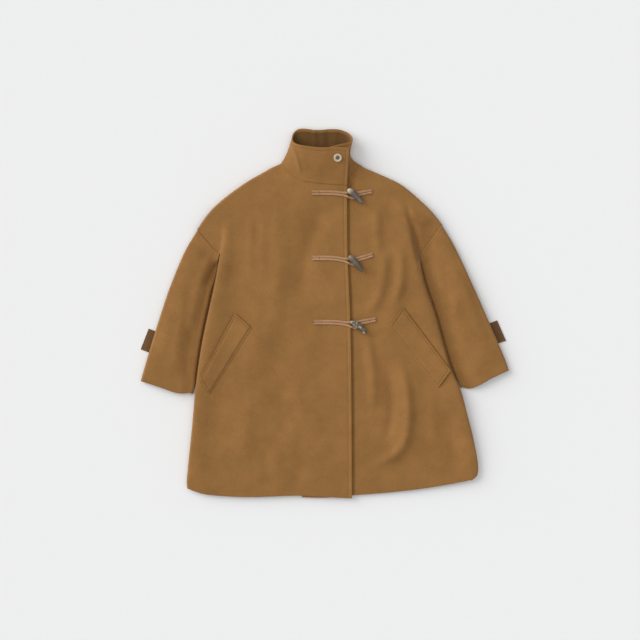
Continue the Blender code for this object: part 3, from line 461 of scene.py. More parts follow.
def smooth_curve(points, fractions):
    """Read a smooth curve through the points at fractions of its length, from 0 to 1."""
    knots = np.asarray(points, dtype=float)
    padded = np.vstack([2.0 * knots[0] - knots[1], knots, 2.0 * knots[-1] - knots[-2]])
    dense = []
    steps = np.linspace(0.0, 1.0, 24, endpoint=False)[:, None]
    for p0, p1, p2, p3 in zip(padded[:-3], padded[1:-2], padded[2:-1], padded[3:]):
        span = np.linalg.norm(p2 - p1)
        lead = span * (p2 - p0) / (span + np.linalg.norm(p1 - p0))
        trail = span * (p3 - p1) / (span + np.linalg.norm(p3 - p2))
        cubic = 2.0 * steps ** 3 - 3.0 * steps ** 2
        dense.append((1.0 + cubic) * p1 - cubic * p2
                     + (steps ** 3 - 2.0 * steps ** 2 + steps) * lead
                     + (steps ** 3 - steps ** 2) * trail)
    dense = np.vstack(dense + [knots[-1:]])
    lengths = lengths_along(dense)
    return between(dense, lengths, np.asarray(fractions) * lengths[-1])


def finer(values, times):
    """Put evenly spaced values between each two neighbours, so that one step becomes several."""
    index = np.linspace(0.0, len(values) - 1.0, (len(values) - 1) * times + 1)
    return np.interp(index, np.arange(len(values)), values)


def matched(line, other):
    """Points of a line at the same fractions of its length that the other line's points have."""
    own = lengths_along(line)
    wanted = lengths_along(other)
    return between(line, own / own[-1], wanted / wanted[-1])


def weld(grid, target, reach=WELD):
    """Move a grid's first row onto a line, and let the rows near it follow."""
    steps = np.linalg.norm(np.diff(grid, axis=0), axis=2)
    far = np.vstack([np.zeros(grid.shape[1]), np.cumsum(steps, axis=0)])
    share = 1.0 - blend(far, 0.0, reach)
    return grid + share[:, :, None] * (target - grid[0])[None, :, :], far


def outward_normals(line, side):
    """Normals in plan of a line, on its left (side = 1) or right (side = -1)."""
    tangent = unit(np.gradient(line, axis=0))
    return side * np.stack([-tangent[:, 1], tangent[:, 0]], axis=1)


def between(values, places, wanted):
    """Read rows of values at places in between."""
    return np.stack([np.interp(wanted, places, column) for column in values.T], axis=1)


def patch(top, bottom, start, end, v, u):
    """Fill four edges in plan: rows run from start to end, from the top edge to the bottom one."""
    v = v[:, None, None]
    u = u[None, :, None]
    ruled_rows = (1.0 - u) * start[:, None, :] + u * end[:, None, :]
    ruled_columns = (1.0 - v) * top[None, :, :] + v * bottom[None, :, :]
    corners = ((1.0 - v) * ((1.0 - u) * top[0] + u * top[-1])
               + v * ((1.0 - u) * bottom[0] + u * bottom[-1]))
    return ruled_rows + ruled_columns - corners


def grid_normals(grid):
    return unit(np.cross(np.gradient(grid, axis=1), np.gradient(grid, axis=0)))


def on_grid(grid, rows, columns):
    """Points and upward normals of a grid at fractional rows and columns."""
    normals = grid_normals(grid)
    found = []
    for values in (grid, normals):
        row = np.clip(rows.astype(int), 0, grid.shape[0] - 2)
        column = np.clip(columns.astype(int), 0, grid.shape[1] - 2)
        v = (rows - row)[:, None]
        u = (columns - column)[:, None]
        found.append((1 - v) * (1 - u) * values[row, column] + (1 - v) * u * values[row, column + 1]
                     + v * (1 - u) * values[row + 1, column] + v * u * values[row + 1, column + 1])
    normal = unit(found[1])
    return found[0], normal * np.where(normal[:, 2:] < 0.0, -1.0, 1.0)


# ---- heights -------------------------------------------------------------------------------------
def blend(value, low, high):
    """Go smoothly from 0 at low to 1 at high."""
    t = np.clip((value - low) / (high - low), 0.0, 1.0)
    return t * t * (3.0 - 2.0 * t)


def bell(distance, width):
    """Fall off on both sides from 1 at no distance."""
    return np.exp(-(distance / width) ** 2)


def fold_height(x, y, folds):
    """Sum of soft folds, each a bell across its line that fades out at both ends."""
    total = np.zeros(np.shape(x))
    for row in folds:
        fold = dict(zip(FOLD_COLUMNS, row))
        run = np.array([fold["end_x"] - fold["start_x"], fold["end_y"] - fold["start_y"]])
        length = np.linalg.norm(run)
        run = run / length
        from_x = x - fold["start_x"]
        from_y = y - fold["start_y"]
        along = (from_x * run[0] + from_y * run[1]) / length
        off = from_x * run[1] - from_y * run[0]
        fade = blend(along, -0.15, 0.3) * (1.0 - blend(along, 0.7, 1.15))
        total += fold["height"] * fade * bell(off, fold["width"])
    return total


def crease_height(x, y, creases):
    """Sum of creases, each a bell across its curved path that fades out at both ends."""
    total = np.zeros(np.shape(x))
    for width, height, path in creases:
        line = smooth_curve(path, even(13))
        nearest = np.full(np.shape(x), np.inf)
        along = np.zeros(np.shape(x))
        for index, (start, end) in enumerate(zip(line[:-1], line[1:])):
            run = end - start
            share = (x - start[0]) * run[0] + (y - start[1]) * run[1]
            share = np.clip(share / (run @ run), 0.0, 1.0)
            off = np.hypot(x - start[0] - share * run[0], y - start[1] - share * run[1])
            along = np.where(off < nearest, (index + share) / (len(line) - 1.0), along)
            nearest = np.minimum(off, nearest)
        fade = blend(along, 0.0, 0.3) * (1.0 - blend(along, 0.7, 1.0))
        total += height * fade * bell(nearest, width)
    return total


def mouth_dent(x, y, side):
    """How far a front sinks along the mouth of its welt, from the welt's first corner to its last."""
    top, end = np.array(WELT[side][0]), np.array(WELT[side][3])
    run = unit(end - top)
    length = np.linalg.norm(end - top)
    along = (x - top[0]) * run[0] + (y - top[1]) * run[1]
    off = np.abs((x - top[0]) * run[1] - (y - top[1]) * run[0])
    past, within = MOUTH_FADE
    inside = blend(along, -past, within) * (1.0 - blend(along, length - within, length + past))
    return MOUTH_DENT * inside * bell(off, MOUTH_DENT_WIDTH)


def front_height(x, y, side):
    """Mid-surface height of a front: the wearer's right one lies above the left one."""
    height = np.interp(y, BODY_HEIGHT["y"], BODY_HEIGHT["height"])
    height = height + fold_height(x, y, BODY_FOLDS) * blend(y, *FOLDS_START)
    height = height + CREASE_DEPTH * crease_height(x, y, BODY_CREASES)
    rise = NECK_RISE
    height = height + rise["height"] * np.exp(-((x - rise["x"]) / rise["width"]) ** 2
                                              - ((y - rise["y"]) / rise["length"]) ** 2)
    for edge, facing in FACING.items():
        ridge = SIDE_RIDGE[edge]
        line, swell, fall = [np.interp(y, ridge["y"], ridge[key]) for key in ("x", "swell", "fall")]
        beyond = facing * (x - line)
        height = height + swell * bell(beyond, RIDGE_WIDTH)
        height = height - (fall + 0.5 * swell) * blend(beyond, 0.0, ridge["fall_width"])
    height = height - mouth_dent(x, y, side)
    from_edge = x - front_edge_x(y)
    if side == "right":
        return height + LAP_STEP + EDGE_LIFT * bell(from_edge, EDGE_LIFT_WIDTH)
    return height - LAP_STEP - EDGE_SINK * bell(from_edge - EDGE_SINK_PLACE, EDGE_SINK_WIDTH)


def front_edge_x(y):
    """Where the upper front's edge runs at a height of the coat."""
    edge_x, edge_y = np.array(FRONT_EDGE["right"][::-1]).T
    return np.interp(y, edge_y, edge_x)


def groove(distance):
    """The dent that a row of stitches makes, by distance from the row."""
    return -GROOVE_DEPTH * bell(distance, GROOVE_WIDTH)


def seam_ridge(distance):
    """The ridge that the turned-in cloth makes, by distance from its seam."""
    return SEAM_RIDGE * bell(distance - SEAM_RIDGE_PLACE, SEAM_DENT_WIDTH)


def top_of_front(x, y, side, cloth):
    return front_height(x, y, side) + 0.5 * cloth + SEAM


def strap_height(x, y, cloth):
    return top_of_front(x, y, "left", cloth) + STRAP_ROOM


def loop_height(x, y, cloth):
    """A loop lies on the upper front, and past its edge it lies on the toggle's strap."""
    on_front = top_of_front(x, y, "right", cloth) + STRAP_ROOM
    on_strap = strap_height(x, y, cloth) + LEATHER + SEAM + STRAP_ROOM
    return on_front + (on_strap - on_front) * blend(x - front_edge_x(y), 2.0, 12.0)


# ---- meshes --------------------------------------------------------------------------------------
def quads(index):
    """Faces between neighbouring rows and columns of an array of point numbers."""
    corners = (index[:-1, :-1], index[:-1, 1:], index[1:, 1:], index[1:, :-1])
    return np.stack([corner.ravel() for corner in corners], axis=1)


def add_mesh(name, points, faces, material, marks=None):
    """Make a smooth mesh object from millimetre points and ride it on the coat."""
    mesh = bpy.data.meshes.new(name)
    mesh.from_pydata((MM * points).tolist(), [], [list(face) for face in faces])
    mesh.validate()
    for key, values in (marks or {}).items():
        attribute = mesh.attributes.new(key, "FLOAT", "POINT")
        attribute.data.foreach_set("value", np.asarray(values, dtype=np.float32))
    mesh.shade_smooth()
    mesh.materials.append(material)
    made = bpy.data.objects.new(name, mesh)
    bpy.context.scene.collection.objects.link(made)
    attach(made, "root")
    return made


def shell(name, grid, thickness, material, slot, rim=EDGE_RIM, marks=None):
    """A closed wall round a mid-surface, with rounded edges that end on the grid's outline.

    The thickness and the reach of the rounded rim are one number, or one for each point. Each mark is
    a pair of values, one for the side that the grid's normals point to and one for the other side.
    """
    rows, columns, _ = grid.shape
    half = 0.5 * np.broadcast_to(thickness, (rows, columns)).reshape(-1, 1)
    normals = grid_normals(grid)
    along = unit(np.gradient(grid, axis=0))
    across = unit(np.gradient(grid, axis=1))
    outward = np.zeros_like(grid)
    outward[0] -= along[0]
    outward[-1] += along[-1]
    outward[:, 0] -= across[:, 0]
    outward[:, -1] += across[:, -1]
    number = np.arange(rows * columns).reshape(rows, columns)
    ring = np.concatenate([number[0, :-1], number[:-1, -1], number[-1, :0:-1], number[:0:-1, 0]])
    middle = grid.reshape(-1, 3).copy()
    normal = normals.reshape(-1, 3)
    out = unit(outward.reshape(-1, 3)[ring])
    rim = np.broadcast_to(rim, (rows, columns)).reshape(-1, 1)[ring]
    middle[ring] -= rim * out
    layers = [middle + half * normal, middle - half * normal]
    loops = [ring]
    for step in range(1, RIM_STEPS + 1):
        angle = math.radians(90.0 - 180.0 / (RIM_STEPS + 1) * step)
        lift = half[ring] * math.sin(angle) * normal[ring]
        layers.append(middle[ring] + lift + rim * math.cos(angle) * out)
        loops.append(2 * rows * columns + (step - 1) * len(ring) + np.arange(len(ring)))
    loops.append(ring + rows * columns)
    belt = np.array(loops)
    belt = np.concatenate([belt, belt[:, :1]], axis=1)
    faces = np.vstack([quads(number), quads(number + rows * columns)[:, ::-1],
                       quads(belt)[:, ::-1]])
    points = np.vstack(layers)
    if signed_volume(points, faces) < 0.0:
        faces = faces[:, ::-1]
    on_points = {}
    for key, (front, back) in (marks or {}).items():
        front, back = np.ravel(front), np.ravel(back)
        rounded = np.tile(0.5 * (front + back)[ring], RIM_STEPS)
        on_points[key] = np.concatenate([front, back, rounded])
    return add_mesh(name, points, faces, material, on_points)


def sewn_rim(grid):
    """Rims for a piece that is sewn edge to edge along its first row."""
    rim = np.full(grid.shape[:2], EDGE_RIM)
    rim[0] = SEWN_RIM
    return rim


def signed_volume(points, faces):
    """Six times the volume inside the faces, above zero where they face outwards."""
    a, b, c, d = (points[faces[:, corner]] for corner in range(4))
    halves = np.einsum("ij,ij->i", a, np.cross(b, c)) + np.einsum("ij,ij->i", a, np.cross(c, d))
    return float(halves.sum())


def cloth_piece(name, grid, cloth, material, slot="wool", rim=EDGE_RIM, marks=None):
    """A cloth shell that stands for the solid of the same name, and hides that solid."""
    piece = shell(name + "_cloth", grid, cloth, material, slot, rim, marks)
    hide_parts(name)


def ring_of_points(centre, side, other, radius, other_radius, segments):
    """Points of an ellipse round a centre, whose two half axes lie along side and other."""
    angles = 2.0 * math.pi * even(segments + 1)[:-1, None]
    return centre + radius * side * np.cos(angles) + other_radius * other * np.sin(angles)


def faces_of_rings(count, segments):
    """Faces that join rings into a tube with a single point before the first and after the last."""
    top = 1 + (count - 1) * segments
    faces = []
    for index in range(segments):
        following = (index + 1) % segments
        faces.append((0, 1 + following, 1 + index))
        for low in range(1, top, segments):
            high = low + segments
            faces.append((low + index, low + following, high + following, high + index))
        faces.append((top + index, top + following, top + segments))
    return faces


def stitches(name, path, upward, settings, material, sink=0.1):
    """A row of thread stitches along a path on a surface, as one mesh."""
    length = settings.stitch_length / MM
    pitch = length + settings.stitch_gap / MM
    radius = settings.thread_radius / MM
    lengths = lengths_along(path)
    count = max(1, int((lengths[-1] + settings.stitch_gap / MM) / pitch))
    centres = (np.arange(count) + 0.5) * lengths[-1] / count
    middle = between(path, lengths, centres)
    up = unit(between(upward, lengths, centres))
    run = unit(between(path, lengths, centres + 0.1) - between(path, lengths, centres - 0.1))
    side = np.cross(up, run)
    points = []
    faces = []
    angles = np.radians(STITCH_RINGS)
    template = faces_of_rings(len(angles), STITCH_SEGMENTS)
    for centre, forward, sideways, high in zip(middle, run, side, up):
        rest = centre + high * (radius * STITCH_LIFT - sink)
        start, end = rest - 0.5 * length * forward, rest + 0.5 * length * forward
        rings = [ring_of_points(rest + forward * 0.5 * length * math.sin(angle), sideways, high,
                                STITCH_FLATNESS * radius * math.cos(angle),
                                radius * math.cos(angle), STITCH_SEGMENTS)
                 for angle in angles]
        base = sum(len(block) for block in points)
        points.append(np.vstack([[start], *rings, [end]]))
        faces.extend([tuple(base + corner for corner in face) for face in template])
    add_mesh(name, np.vstack(points), faces, material)


def sew(name, point, normal, settings):
    """Sew a row of stitches on top of the cloth whose middle runs through the points."""
    top = point + 0.5 * settings.thickness / MM * normal
    stitches(name, top, normal, settings, finish("thread"))


# ---- body----------------------------------------------------------------------------------------
def body_outline(side, rows):
    """Shoulder, armhole and side fold as one line at fractional rows, with its outward normals."""
    facing = FACING[side]

    def line_at(wanted):
        first, second, third, last = BODY_ROWS
        on_shoulder = wanted < second
        on_side = wanted >= third
        on_armhole = ~on_shoulder & ~on_side
        return np.vstack([
            smooth_curve(SHOULDER[side], (wanted[on_shoulder] - first) / (second - first)),
            smooth_curve(ARMHOLE[side], (wanted[on_armhole] - second) / (third - second)),
            smooth_curve(SIDE_FOLD[side], (wanted[on_side] - third) / (last - third)),
        ])

    whole = np.arange(BODY_ROWS[-1] + 1.0)
    coarse_normals = outward_normals(line_at(whole), facing)
    coarse_normals[-1] = unit(np.subtract(HEM[side][-1], HEM[side][-2]))
    share = np.interp(rows, [5.0, 6.0, 7.0, 13.0, 14.0, 15.0], [0.0, 0.35, 1.0, 1.0, 0.25, 0.0])
    return line_at(rows), unit(between(coarse_normals, whole, rows)), share


def body_rows(step):
    """Fractional rows of the body, about a step apart and closer at the neck and the hem."""
    spans = ((0.0, 0.35, 8.0 * step), (0.35, 7.0, 250.0), (7.0, 13.0, 130.0), (13.0, 30.0, 545.0),
             (30.0, 31.0, 55.0))
    pieces = [np.linspace(low, high, int(length / step) + 1)[:-1] for low, high, length in spans]
    return np.concatenate(pieces + [[31.0]])


def rolled(grid, outward, reach, drop, turn):
    """Extra columns that roll a grid's last column outwards and down."""
    edge = grid[:, -1, :]
    half_drop = drop / (1.0 - np.cos(turn))
    columns = [grid]
    for step in range(1, ROLL_STEPS + 1):
        angle = turn * step / ROLL_STEPS
        plan = edge[:, :2] + outward * (reach * np.sin(angle))[:, None]
        height = edge[:, 2] - half_drop * (1.0 - np.cos(angle))
        columns.append(np.column_stack([plan, height])[:, None, :])
    return np.concatenate(columns, axis=1)


def front_grid(side, cloth, step):
    rows = body_rows(step)
    line, outward, share = body_outline(side, rows)
    half = 0.5 * cloth
    turn = np.radians(FOLD_TURN + (ARMHOLE_TURN - FOLD_TURN) * share)
    reach = SIDE_REACH + (ARMHOLE_REACH - SIDE_REACH) * share
    beyond = (reach + half) * (1.0 - share) + (reach * np.sin(turn) + BUTT) * share
    inner_line = line - outward * beyond[:, None]

    near_edge = np.linspace(0.0, 0.045, 12)
    across = np.concatenate([near_edge, np.linspace(0.045, 1.0, int(400.0 / step))[1:]])
    neck = smooth_curve(NECK_SEAM[side], across if side == "right" else 1.0 - across)
    hem = smooth_curve(HEM[side], across)
    edge_rows = np.interp(rows, BODY_ROWS, [0.0, 0.15, 0.24, 1.0])
    edge = smooth_curve(FRONT_EDGE[side], edge_rows)
    neck = neck + (inner_line[0] - neck[-1]) * across[:, None] ** 4
    hem = hem + (inner_line[-1] - hem[-1]) * across[:, None] ** 4
    plan = patch(neck, hem, edge, inner_line, rows / BODY_ROWS[-1], across)
    x, y = plan[:, :, 0], plan[:, :, 1]
    height = front_height(x, y, side)
    if side == "right":
        height = height + groove(front_edge_x(y) - STITCH_INSET - x)
    full_drop = height[:, -1] - (cloth + SEAM + half + REST)
    drop = full_drop + (ARMHOLE_DROP - full_drop) * share
    grid = rolled(np.dstack([plan, height]), outward, reach, drop, turn)
    grid, from_neck = weld(grid, matched(collar_foot(side), grid[0]))
    grid[:, :, 2] -= SEAM_DENT * bell(from_neck, SEAM_DENT_WIDTH)
    return grid


def armhole_seam(side, fractions):
    """Points of the sleeve's seam beside the front's armhole edge, from the shoulder down."""
    first, last = BODY_ROWS[1:3]
    line, outward, _ = body_outline(side, first + (last - first) * fractions)
    inner = line - outward * (ARMHOLE_REACH * math.sin(math.radians(ARMHOLE_TURN)) + BUTT)
    height = front_height(inner[:, 0], inner[:, 1], side) - ARMHOLE_DROP
    return np.column_stack([line + outward * BUTT, height])


def make_back(cloth, step, material):
    """The back lies flat, just inside the folds that bring the fronts down to it."""
    rows = body_rows(step)
    lines = {}
    for side in ("right", "left"):
        line, outward, share = body_outline(side, rows)
        inset = BACK_INSET + (0.5 * SEAM - BACK_INSET) * share
        lines[side] = line - outward * inset[:, None]
    across = even(int(620.0 / step))
    top = smooth_curve([lines["right"][0], *BACK_NECK, lines["left"][0]], across)
    hem = smooth_curve([lines["right"][-1], *BACK_HEM, lines["left"][-1]], across)
    plan = patch(top, hem, lines["right"], lines["left"], rows / BODY_ROWS[-1], across)
    grid = np.dstack([plan, np.full(plan.shape[:2], 0.5 * cloth)])
    cloth_piece("back", grid, cloth, material)


# ---- sleeves -------------------------------------------------------------------------------------
def sleeve_reach(rows, fold_reach=SLEEVE_REACH, head_reach=HEAD_REACH[0]):
    """Sideways reach of a roll along a sleeve, which opens from its reach at the sleeve's head."""
    return head_reach + (fold_reach - head_reach) * blend(rows, 0.0, HEAD_LENGTH)


def between_insets(table, insets, end, across):
    """Fractions of the length of a sleeve's seam or cuff that lie between the insets at its ends."""
    length = np.linalg.norm(np.diff(np.array(table), axis=0), axis=1).sum()
    first = insets[0][end] / length
    last = 1.0 - insets[1][end] / length
    return first + (last - first) * across


def sleeve_edges(side, rows, across, insets, seam_gap):
    """The four edges in plan of a sleeve panel that stops short of the sleeve's folds by the insets."""
    facing = FACING[side]
    outer = smooth_curve(SLEEVE_FOLD[side], rows)
    inner = smooth_curve(SLEEVE_INNER[side], rows)
    coarse_outer = outward_normals(smooth_curve(SLEEVE_FOLD[side], SLEEVE_ROWS), facing)
    coarse_inner = outward_normals(smooth_curve(SLEEVE_INNER[side], SLEEVE_ROWS), -facing)
    outer_normal = unit(between(coarse_outer, SLEEVE_ROWS, rows))
    inner_normal = unit(between(coarse_inner, SLEEVE_ROWS, rows))
    outer_line = outer - outer_normal * insets[0][:, None]
    inner_line = inner - inner_normal * insets[1][:, None]
    at_seam = np.clip(1.0 - rows / SLEEVE_ROWS[1], 0.0, 1.0)[:, None]
    at_cuff = np.clip((rows - SLEEVE_ROWS[-2]) / (1.0 - SLEEVE_ROWS[-2]), 0.0, 1.0)[:, None]
    ends = []
    for table, end, gap, nearness in ((ARMHOLE[side], 0, seam_gap, at_seam),
                                      (CUFF[side], -1, 0.0, at_cuff)):
        line = smooth_curve(table, between_insets(table, insets, end, across))
        line = line + outward_normals(line, facing) * gap
        outer_line = outer_line + (line[0] - outer_line[end]) * nearness
        inner_line = inner_line + (line[-1] - inner_line[end]) * nearness
        ends.append(line)
    return ends[0], ends[1], outer_line, inner_line, outer_normal, inner_normal


def sleeve_height(side, rows, across, plan, foot):
    """Mid-surface height of a sleeve's upper panel, which stays above the edges it rolls down to."""
    table = SLEEVE_HEIGHT
    outer, middle, inner = [np.interp(rows, table["along"], table[key])[:, None]
                            for key in ("outer", "middle", "inner")]
    share = across[None, :]
    height = (outer * (1.0 - share) * (1.0 - 2.0 * share) + middle * 4.0 * share * (1.0 - share)
              + inner * share * (2.0 * share - 1.0))
    x, y = plan[:, :, 0], plan[:, :, 1]
    settle = blend(rows, *SLEEVE_FOLDS_START)[:, None]
    height = height + settle * fold_height(x, y, SLEEVE_FOLDS[side])
    height = height + crease_height(x, y, SLEEVE_CREASES[side])
    from_inner = np.linalg.norm(plan - plan[:, -1:, :], axis=2)
    depth, width, swell = SLEEVE_HOLLOW[side]
    lift = swell * bell(from_inner - SWELL_PLACE, SWELL_WIDTH) - depth * bell(from_inner, width)
    height = height + blend(rows, *HOLLOW_STARTS)[:, None] * lift
    spare = height - foot - SLEEVE_ROOM
    height = foot + SLEEVE_ROOM + 0.5 * (spare + np.sqrt(spare ** 2 + 1.0))
    return height - SEAM_DIP * (1.0 - blend(rows, 0.0, SLEEVE_ROWS[1]))[:, None]


def drawn_to_armhole(side, whole, across, insets):
    """Draw a sleeve's first row onto the armhole seam, and let its rolled edges follow."""
    target = whole[0].copy()
    sewn = slice(ROLL_STEPS, ROLL_STEPS + len(across))
    target[sewn] = armhole_seam(side, between_insets(ARMHOLE[side], insets, 0, across))
    outer_columns = range(ROLL_STEPS - 1, -1, -1)
    inner_columns = range(sewn.stop, len(target))
    for columns, end in ((outer_columns, sewn.start), (inner_columns, sewn.stop - 1)):
        move = target[end] - whole[0, end]
        for number, column in enumerate(columns, 1):
            target[column] += move * (1.0, 1.0, 1.0 - number / ROLL_STEPS)
    whole, from_seam = weld(whole, target)
    whole[:, :, 2] += seam_ridge(from_seam)
    return whole


def make_sleeve(side, cloth, step, material):
    """Make a sleeve's upper panel, with both its edges rolled in, and its flat under panel."""
    half = 0.5 * cloth
    foot = cloth + SEAM + half + REST
    rows = np.concatenate([finer(SLEEVE_ROWS[:4], 6), finer(SLEEVE_ROWS[3:], int(36.0 / step))[1:]])
    across = even(int(120.0 / step))
    reach = sleeve_reach(rows)
    inner_reach = sleeve_reach(rows, INNER_REACH[side], HEAD_REACH[1])
    beside = BESIDE_SEAM + (BESIDE_BODY - BESIDE_SEAM) * blend(rows, *SLOT_OPENS[side])
    beside = beside - (BESIDE_BODY - BESIDE_CUFF) * blend(rows, *SLOT_CLOSES)
    insets = (reach + half, inner_reach + half + beside)
    edges = sleeve_edges(side, rows, across, insets, 0.5 * SEAM + SEAM_ROOM)
    outer_normal, inner_normal = edges[4:]
    index = np.interp(rows, SLEEVE_ROWS, even(len(SLEEVE_ROWS)))
    plan = patch(*edges[:4], index, across)
    height = sleeve_height(side, rows, across, plan, foot)
    grid = np.dstack([plan, height])
    turn = np.full(len(rows), math.radians(FOLD_TURN))
    outer_roll = rolled(grid[:, ::-1, :], outer_normal, reach, height[:, 0] - foot, turn)
    inner_roll = rolled(grid, inner_normal, inner_reach, height[:, -1] - foot, turn)
    whole = np.concatenate([outer_roll[:, ::-1, :], inner_roll[:, len(across):, :]], axis=1)
    whole = drawn_to_armhole(side, whole, across, insets)
    under_name = "sleeve_" + side + "_under"
    cloth_piece("sleeve_" + side + "_top", whole, cloth, material)

    insets = (UNDER_INSET * reach + half, np.full(len(rows), UNDER_BESIDE))
    few = even(int(100.0 / step))
    plan = patch(*sleeve_edges(side, rows, few, insets, 0.7 * SEAM)[:4], index, few)
    under = np.dstack([plan, np.full(plan.shape[:2], half)])
    cloth_piece(under_name, under, cloth, material)


# ---- collar --------------------------------------------------------------------------------------
def at_collar_back(place):
    """1 along the back of the collar and 0 along its laps, by fraction of the way round."""
    return blend(place, *BACK_SPAN[:2]) * (1.0 - blend(place, *BACK_SPAN[2:]))


def collar_grid(around=221, upward=41):
    """Rows run up the collar and columns run round it."""
    stations = smooth_curve(COLLAR_STATIONS, even(around))
    column = dict(zip(COLLAR_COLUMNS, stations.T))
    top = np.column_stack([column["top_x"], column["top_y"], column["top_z"]])
    seam = np.column_stack([column["seam_x"], column["seam_y"], column["seam_z"]])
    middle = seam[:, :2].mean(axis=0)
    lift = BACK_LIFT * at_collar_back(even(around))
    rows = []
    for up in even(upward):
        line = seam + (top - seam) * up
        inward = unit(middle - line[:, :2])
        line[:, :2] += inward * (column["pinch"] * 4.0 * up * (1.0 - up))[:, None]
        line[:, 2] += lift * up ** 3
        rows.append(line)
    return np.array(rows)


def collar_foot(side):
    """The line that a front's neck edge is sewn to, from the front edge round to the back."""
    grid = collar_grid()
    foot = grid[0] - BUTT * unit(grid[1] - grid[0])
    if side == "left":
        foot = foot[::-1]
    return foot[:int(np.argmax(foot[:, 2] < FOOT_LEVEL))]


def collar_distances(grid):
    """How far each point of the collar lies from its foot, its top edge and its front edge, mm."""
    up_steps = np.linalg.norm(np.diff(grid, axis=0), axis=2)
    from_foot = np.vstack([np.zeros(grid.shape[1]), np.cumsum(up_steps, axis=0)])
    round_steps = np.linalg.norm(np.diff(grid, axis=1), axis=2)
    from_front = np.hstack([np.zeros((grid.shape[0], 1)), np.cumsum(round_steps, axis=1)])
    return from_foot, from_foot[-1] - from_foot, from_front


def collar_relief(grid, from_foot, from_top, from_front):
    """How far the collar's cloth stands out, or in, at its stitches, its seam and its creases."""
    x, y = grid[:, :, 0], grid[:, :, 1]
    place = even(grid.shape[1])
    past_lap = blend(place, *LAP_END)
    off_floor = 1.0 - past_lap * (1.0 - blend(place, *BACK_SPAN[2:]))
    front_groove = groove(from_front - STITCH_INSET) * (from_top > STITCH_INSET)
    relief = groove(from_top - STITCH_INSET) + front_groove
    relief = relief + off_floor * seam_ridge(from_foot)
    relief = relief + (1.0 - past_lap) * crease_height(x, y, COLLAR_FRONT_CREASES)
    return relief - at_collar_back(place) * crease_height(x, y, COLLAR_BACK_CREASES)


def on_top_lap(grid, x, y):
    """The point and upward normal of the collar's top lap at a place in plan."""
    lap = grid[:, :grid.shape[1] // 4]
    flat = (lap[:, :, 0] - x) ** 2 + (lap[:, :, 1] - y) ** 2
    row, column = np.unravel_index(np.argmin(flat), flat.shape)
    point, normal = on_grid(lap, np.array([float(row)]), np.array([float(column)]))
    return point[0], normal[0]


# ---- materials -----------------------------------------------------------------------------------
def add_node(tree, kind, links=None, **values):
    """Add a node, set its properties and sockets, and link sockets that are given as outputs."""
    node = tree.nodes.new(kind)
    for key, value in values.items():
        setattr(node, key, value)
    for key, value in (links or {}).items():
        socket = node.inputs[key]
        if isinstance(value, bpy.types.NodeSocket):
            tree.links.new(value, socket)
        else:
            socket.default_value = value
    return node


def new_group(name, inputs, outputs):
    """Start a shader node group with named inputs (kind and default) and outputs (kind)."""
    group = bpy.data.node_groups.new(name, "ShaderNodeTree")
    for key, (kind, value) in inputs.items():
        group.interface.new_socket(key, in_out="INPUT", socket_type=kind).default_value = value
    for key, kind in outputs.items():
        group.interface.new_socket(key, in_out="OUTPUT", socket_type=kind)
    return group, group.nodes.new("NodeGroupInput"), group.nodes.new("NodeGroupOutput")


COLOUR = "NodeSocketColor"
NUMBER = "NodeSocketFloat"


def finish_group(group, outlet, results):
    for key, socket in results.items():
        group.links.new(socket, outlet.inputs[key])
    return group


def noise(tree, vector, scale, detail, roughness=0.55):
    return add_node(tree, "ShaderNodeTexNoise", {
        "Vector": vector, "Scale": scale, "Detail": detail, "Roughness": roughness,
    }).outputs["Fac"]


def spread(tree, value, low, high, to_low=0.0, to_high=1.0):
    """Map a value from one range to another, and stop at the ends."""
    return add_node(tree, "ShaderNodeMapRange", {
        "Value": value, "From Min": low, "From Max": high, "To Min": to_low, "To Max": to_high,
    }).outputs["Result"]


def mix_colour(tree, factor, first, second):
    node = add_node(tree, "ShaderNodeMix", data_type="RGBA")
    for index, value in ((0, factor), (6, first), (7, second)):
        if isinstance(value, bpy.types.NodeSocket):
            tree.links.new(value, node.inputs[index])
        else:
            node.inputs[index].default_value = value
    return node.outputs[2]


def maths(tree, operation, first, second):
    node = add_node(tree, "ShaderNodeMath", operation=operation)
    for index, value in enumerate((first, second)):
        if isinstance(value, bpy.types.NodeSocket):
            tree.links.new(value, node.inputs[index])
        else:
            node.inputs[index].default_value = value
    return node.outputs[0]


def stretched_place(tree, scale):
    """Object coordinates, stretched so that what they carry runs along one way."""
    place = add_node(tree, "ShaderNodeTexCoord").outputs["Object"]
    return add_node(tree, "ShaderNodeMapping", {"Vector": place, "Scale": scale}).outputs["Vector"]


